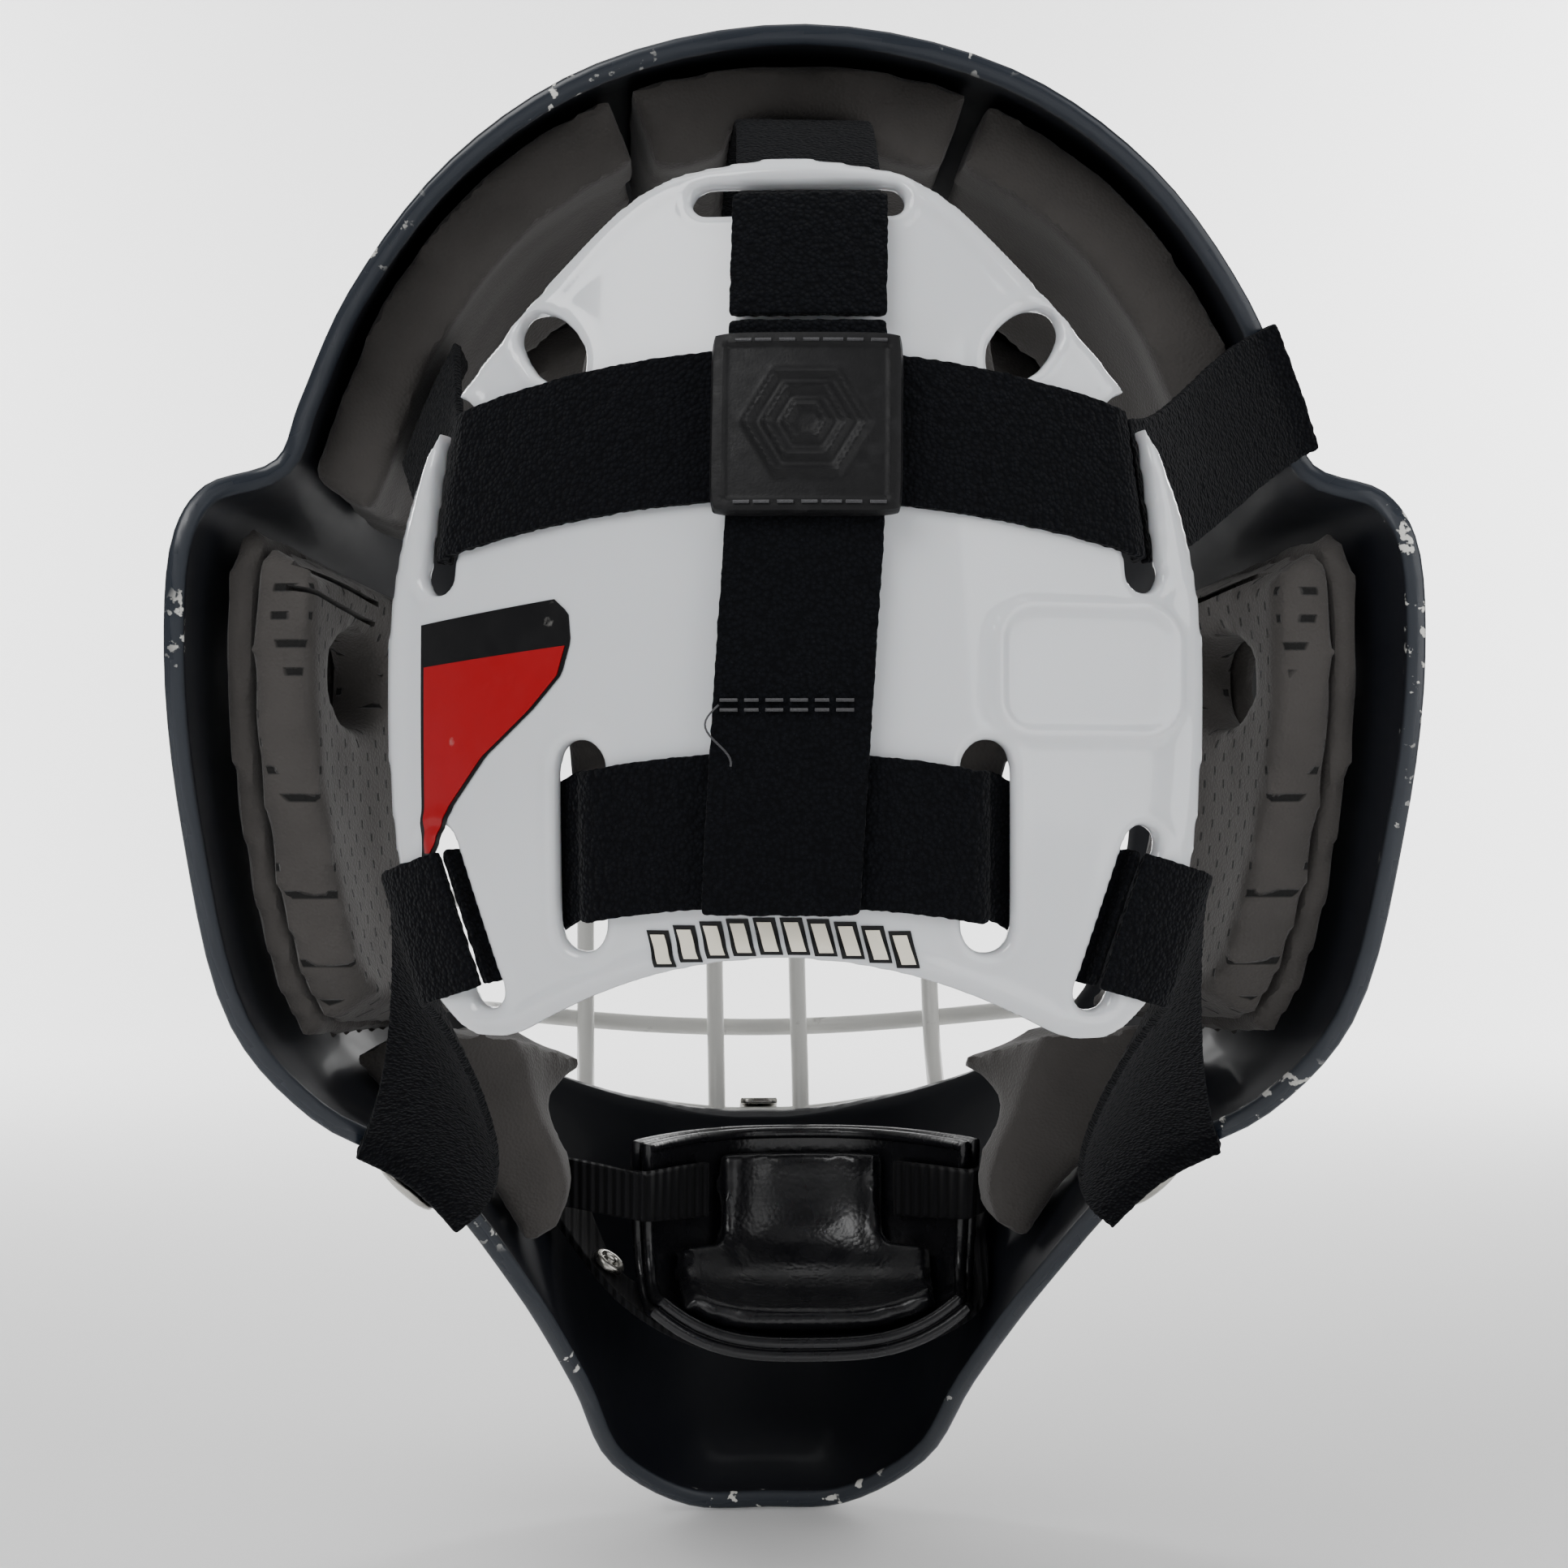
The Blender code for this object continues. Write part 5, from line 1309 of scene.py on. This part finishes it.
def make_badge():
    count = 60
    work = bmesh.new()

    def layer(height):
        return [[work.verts.new(plate_point(BADGE_X + u * BADGE_SIZE / 2 * round_off(v),
                                            BADGE_Z + v * BADGE_SIZE / 2 * round_off(u),
                                            BADGE_LIFT + height(u, v)))
                 for u in steps(-1, 1, count)] for v in steps(-1, 1, count)]

    def round_off(value):
        return 1.0 - 0.035 * abs(value) ** 8
    top, bottom = layer(badge_height), layer(lambda u, v: 0.0)
    for grid, flip in ((top, 1), (bottom, -1)):
        for low, high in zip(grid, grid[1:]):
            for quad in zip(low, low[1:], high[1:], high):
                work.faces.new(quad[::flip])

    def border(grid):
        return (grid[0][:-1] + [row[-1] for row in grid[:-1]] + grid[-1][:0:-1]
                + [row[0] for row in grid[:0:-1]])
    upper, lower = border(top), border(bottom)
    for index in range(len(upper)):
        after = (index + 1) % len(upper)
        work.faces.new((upper[index], lower[index], lower[after], upper[after]))
    badge = new_piece("rubber_badge", work, moulded_rubber())
    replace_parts(badge, "badge")
    place(badge, "back_plate", "badge")
    lines = []
    for z in (BADGE_Z + BADGE_SIZE * 0.44, BADGE_Z - BADGE_SIZE * 0.44):
        lines += stitches([plate_point(BADGE_X + x, z, BADGE_LIFT + 0.0029)
                           for x in steps(-0.0125, 0.0125, 40)])
    for z in (0.0140, 0.0124):
        lines += stitches([plate_point(x, z, 3 * LAY + 0.0012) for x in steps(-0.0120, 0.0105, 40)])
    place(tube("harness_stitches", lines, 0.00030, twisted_thread(), sides=6), "back_plate",
          "webbing")
    loose = [plate_point(0.0095 + 0.002 * math.sin(5 * t), 0.0132 - 0.010 * t, 3 * LAY + 0.0016
                         + 0.0012 * math.sin(3.1 * t)) for t in steps(0, 1, 16)]
    place(tube("loose_thread", [loose], 0.00018, twisted_thread(), sides=6), "back_plate",
          "webbing")


def stitches(line):
    """Short rises of thread along the line, each a stitch long with a gap after it."""
    span = sum(((b - a).length for a, b in zip(line, line[1:])), 0.0)
    count = max(int(span / (sizes().stitch * 1.3)), 1)
    made = []
    for index in range(count):
        first = index / count
        last = first + 0.72 / count
        made.append([line[min(round((first + (last - first) * t) * (len(line) - 1)),
                              len(line) - 1)] for t in (0.0, 1.0)])
    return [[a, a.lerp(b, 0.5), b] for a, b in made if (b - a).length > 0.0004]


# ---------------------------------------------------------------- chin cup



def make_chin_cup():
    us, vs = steps(-1.0, 1.0, 96), steps(0.0, 1.0, 72)
    rows = []
    for v in vs:
        row = []
        for u in us:
            point = cup_point(u, v, CUP_WALL / 2)
            fold = noise.noise(Vector((u * 3.0, v * 14.0, 2.0))) * 0.0007 * v * v
            row.append(point + (cup_point(u, v, CUP_WALL) - point).normalized() * fold)
        rows.append(row)
    cup = sheet("vinyl_cup", rows, CUP_WALL, grained_vinyl(), bevel=0.0008)
    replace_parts(cup, "chin_cup")
    place(cup, "chin_cup", "vinyl")
    beads = []
    for inside in (0.0004, CUP_WALL - 0.0004):
        loop = [cup_point(u, 0.0, inside) for u in us]
        loop += [cup_point(1.0, v, inside) for v in vs[1:]]
        loop += [cup_point(u, 1.0, inside) for u in us[-2::-1]]
        loop += [cup_point(-1.0, v, inside) for v in vs[-2:0:-1]]
        beads.append(loop)
    piece = tube("cup_beads", beads, sizes().bead, grained_vinyl(), cyclic=True, sides=12)
    place(piece, "chin_cup", "vinyl")
    liner = copy_of("chin_cup_liner")
    swell(liner, 0.0020, 0.0016)
    give(liner, "cup_cushion", grained_vinyl())
    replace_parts(liner, "chin_cup_liner")
    place(liner, "chin_cup", "vinyl")


def make_chin_bands():
    levels = 3
    sling = rounded("chin_sling", ribbed_elastic(), levels=levels, crease=0.6)
    place(sling, "chin_cup", "webbing")
    for side, word in ((1, "left"), (-1, "right")):
        strap = rounded("chin_strap_" + word, ribbed_elastic(), levels=levels, crease=0.6)
        tuple(shell_point(side * 12.55, 0.54, -0.008))
        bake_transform(strap)
    low, high = (Vector(corner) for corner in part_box("chin_snap"))
    middle = (low + high) / 2
    axis = plane_normal("chin_snap")
    piece = spindle("turned_chin_snap", middle - axis * 0.0008, axis,
                    [(0.0, 0.0038), (0.0011, 0.0038), (0.0017, 0.0034), (0.0017, 0.0024),
                     (0.0009, 0.0021), (0.0009, 0.0014), (0.0019, 0.0012)],
                    nickel_plated_steel())
    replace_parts(piece, "chin_snap")
    place(piece, "chin_cup", "steel")


def plane_normal(node):
    """The axis of a flat round fitting: the way in which its points spread least."""
    points = np.array([vert.co for vert in NODES[node].data.vertices])
    spread = np.linalg.svd(points - points.mean(axis=0))[2][2]
    axis = Vector(spread)
    return axis if axis.dot(Vector((-1, 0.4, 0.8))) > 0 else -axis


# ---------------------------------------------------------------- stage

def aim(thing, target):
    way = Vector(target) - thing.location
    thing.rotation_euler = way.to_track_quat("-Z", "Y").to_euler()


def make_stage():
    work = bmesh.new()
    # The floor bends up into a wall well beyond any camera that goes round the mask at 1.1 m
    bend, sweep = -1.5, 0.4
    profile = [(1.6, 0.0), (bend, 0.0)]
    profile += [(bend - sweep * math.sin(a), sweep - sweep * math.cos(a))
                for a in steps(0.0, math.pi / 2, 16)[1:]]
    profile += [(bend - sweep, 2.4)]
    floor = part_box("shell")[0][2] - 0.0004
    grid = [[work.verts.new((x, y, floor + z)) for x in (-2.5, 2.5)] for y, z in profile]
    for low, high in zip(grid, grid[1:]):
        work.faces.new((low[0], low[1], high[1], high[0]))
    new_piece("studio_floor", work, matt_backdrop())

    data = bpy.data.cameras.new("camera")
    data.lens, data.sensor_width = 76.7, 36.0
    camera = bpy.data.objects.new("camera", data)
    camera.location = (0.0426, 0.665, 0.0)
    camera.rotation_euler = (math.pi / 2, 0.0, math.pi - math.radians(3.44))
    bpy.context.scene.collection.objects.link(camera)
    bpy.context.scene.camera = camera

    for name, spot, size, power in (("key", (0.55, 0.75, 0.75), 0.7, 8.0),
                                    ("fill", (-0.8, 0.6, 0.25), 0.9, 4.5),
                                    ("overhead", (0.0, 0.0, 1.1), 1.0, 3.5)):
        light = bpy.data.lights.new(name, "AREA")
        light.size, light.energy = size, power
        lamp = bpy.data.objects.new(name, light)
        lamp.location = spot
        aim(lamp, (0, 0, -0.02))
        bpy.context.scene.collection.objects.link(lamp)
    for side in (1, -1):
        light = bpy.data.lights.new("backdrop", "AREA")
        light.size, light.energy = 0.8, 26.0
        lamp = bpy.data.objects.new("backdrop", light)
        lamp.location = (side * 1.0, bend + 0.2, 0.5)
        aim(lamp, (-side * 0.1, bend - sweep, 0.1))
        bpy.context.scene.collection.objects.link(lamp)
    world = bpy.data.worlds.new("studio")
    bpy.context.scene.world = world
    world.use_nodes = True
    shade = world.node_tree.nodes["Background"]
    shade.inputs["Color"].default_value = linear("#eeeeee")
    shade.inputs["Strength"].default_value = 0.36


# ---------------------------------------------------------------- add-on

class MASK_OT_shell(bpy.types.Operator):
    """Build the lacquered shell"""
    bl_idname = "goalie_mask.shell"
    bl_label = "Shell"

    def execute(self, context):
        make_shell()
        return {"FINISHED"}


class MASK_OT_cage(bpy.types.Operator):
    """Build the wire cage and the clips that hold it"""
    bl_idname = "goalie_mask.cage"
    bl_label = "Cage"

    def execute(self, context):
        make_cage()
        make_clips()
        return {"FINISHED"}


class MASK_OT_bolts(bpy.types.Operator):
    """Build the bolts and anchors of the straps"""
    bl_idname = "goalie_mask.bolts"
    bl_label = "Bolts"

    def execute(self, context):
        make_bolts()
        return {"FINISHED"}


class MASK_OT_pads(bpy.types.Operator):
    """Build the foam pads and the sweatband"""
    bl_idname = "goalie_mask.pads"
    bl_label = "Pads"

    def execute(self, context):
        make_pads()
        return {"FINISHED"}


class MASK_OT_back_plate(bpy.types.Operator):
    """Build the back plate and its labels"""
    bl_idname = "goalie_mask.back_plate"
    bl_label = "Back Plate"

    def execute(self, context):
        make_back_plate()
        make_labels()
        return {"FINISHED"}


class MASK_OT_harness(bpy.types.Operator):
    """Build the harness straps and the badge"""
    bl_idname = "goalie_mask.harness"
    bl_label = "Harness"

    def execute(self, context):
        make_harness()
        make_badge()
        return {"FINISHED"}


class MASK_OT_chin_cup(bpy.types.Operator):
    """Build the chin cup and its elastic"""
    bl_idname = "goalie_mask.chin_cup"
    bl_label = "Chin Cup"

    def execute(self, context):
        make_chin_cup()
        make_chin_bands()
        return {"FINISHED"}


class MASK_OT_stage(bpy.types.Operator):
    """Build the floor, the lights and the camera"""
    bl_idname = "goalie_mask.stage"
    bl_label = "Stage"

    def execute(self, context):
        make_stage()
        return {"FINISHED"}


OPERATORS = (MASK_OT_stage, MASK_OT_shell, MASK_OT_cage, MASK_OT_bolts, MASK_OT_pads,
             MASK_OT_back_plate, MASK_OT_harness, MASK_OT_chin_cup)


class MASK_PT_build(bpy.types.Panel):
    """Lists the mask's pieces with their colours and sizes"""
    bl_label = "Goalie Mask"
    bl_idname = "MASK_PT_build"
    bl_space_type = "VIEW_3D"
    bl_region_type = "UI"
    bl_category = "Goalie Mask"

    def draw(self, context):
        for group in (context.scene.goalie_mask_finishes, context.scene.goalie_mask_sizes):
            for name in group.bl_rna.properties.keys():
                if name not in ("rna_type", "name"):
                    self.layout.prop(group, name)
        for operator in OPERATORS:
            self.layout.operator(operator.bl_idname)


CLASSES = (GoalieMaskFinishes, GoalieMaskSizes) + OPERATORS + (MASK_PT_build,)


def register():
    for kind in CLASSES:
        bpy.utils.register_class(kind)
    bpy.types.Scene.goalie_mask_finishes = PointerProperty(type=GoalieMaskFinishes)
    bpy.types.Scene.goalie_mask_sizes = PointerProperty(type=GoalieMaskSizes)


def unregister():
    del bpy.types.Scene.goalie_mask_sizes
    del bpy.types.Scene.goalie_mask_finishes
    for kind in reversed(CLASSES):
        bpy.utils.unregister_class(kind)


def main():
    register()
    for operator in OPERATORS:
        group, name = operator.bl_idname.split(".")
        getattr(getattr(bpy.ops, group), name)()


if __name__ == "__main__":
    main()
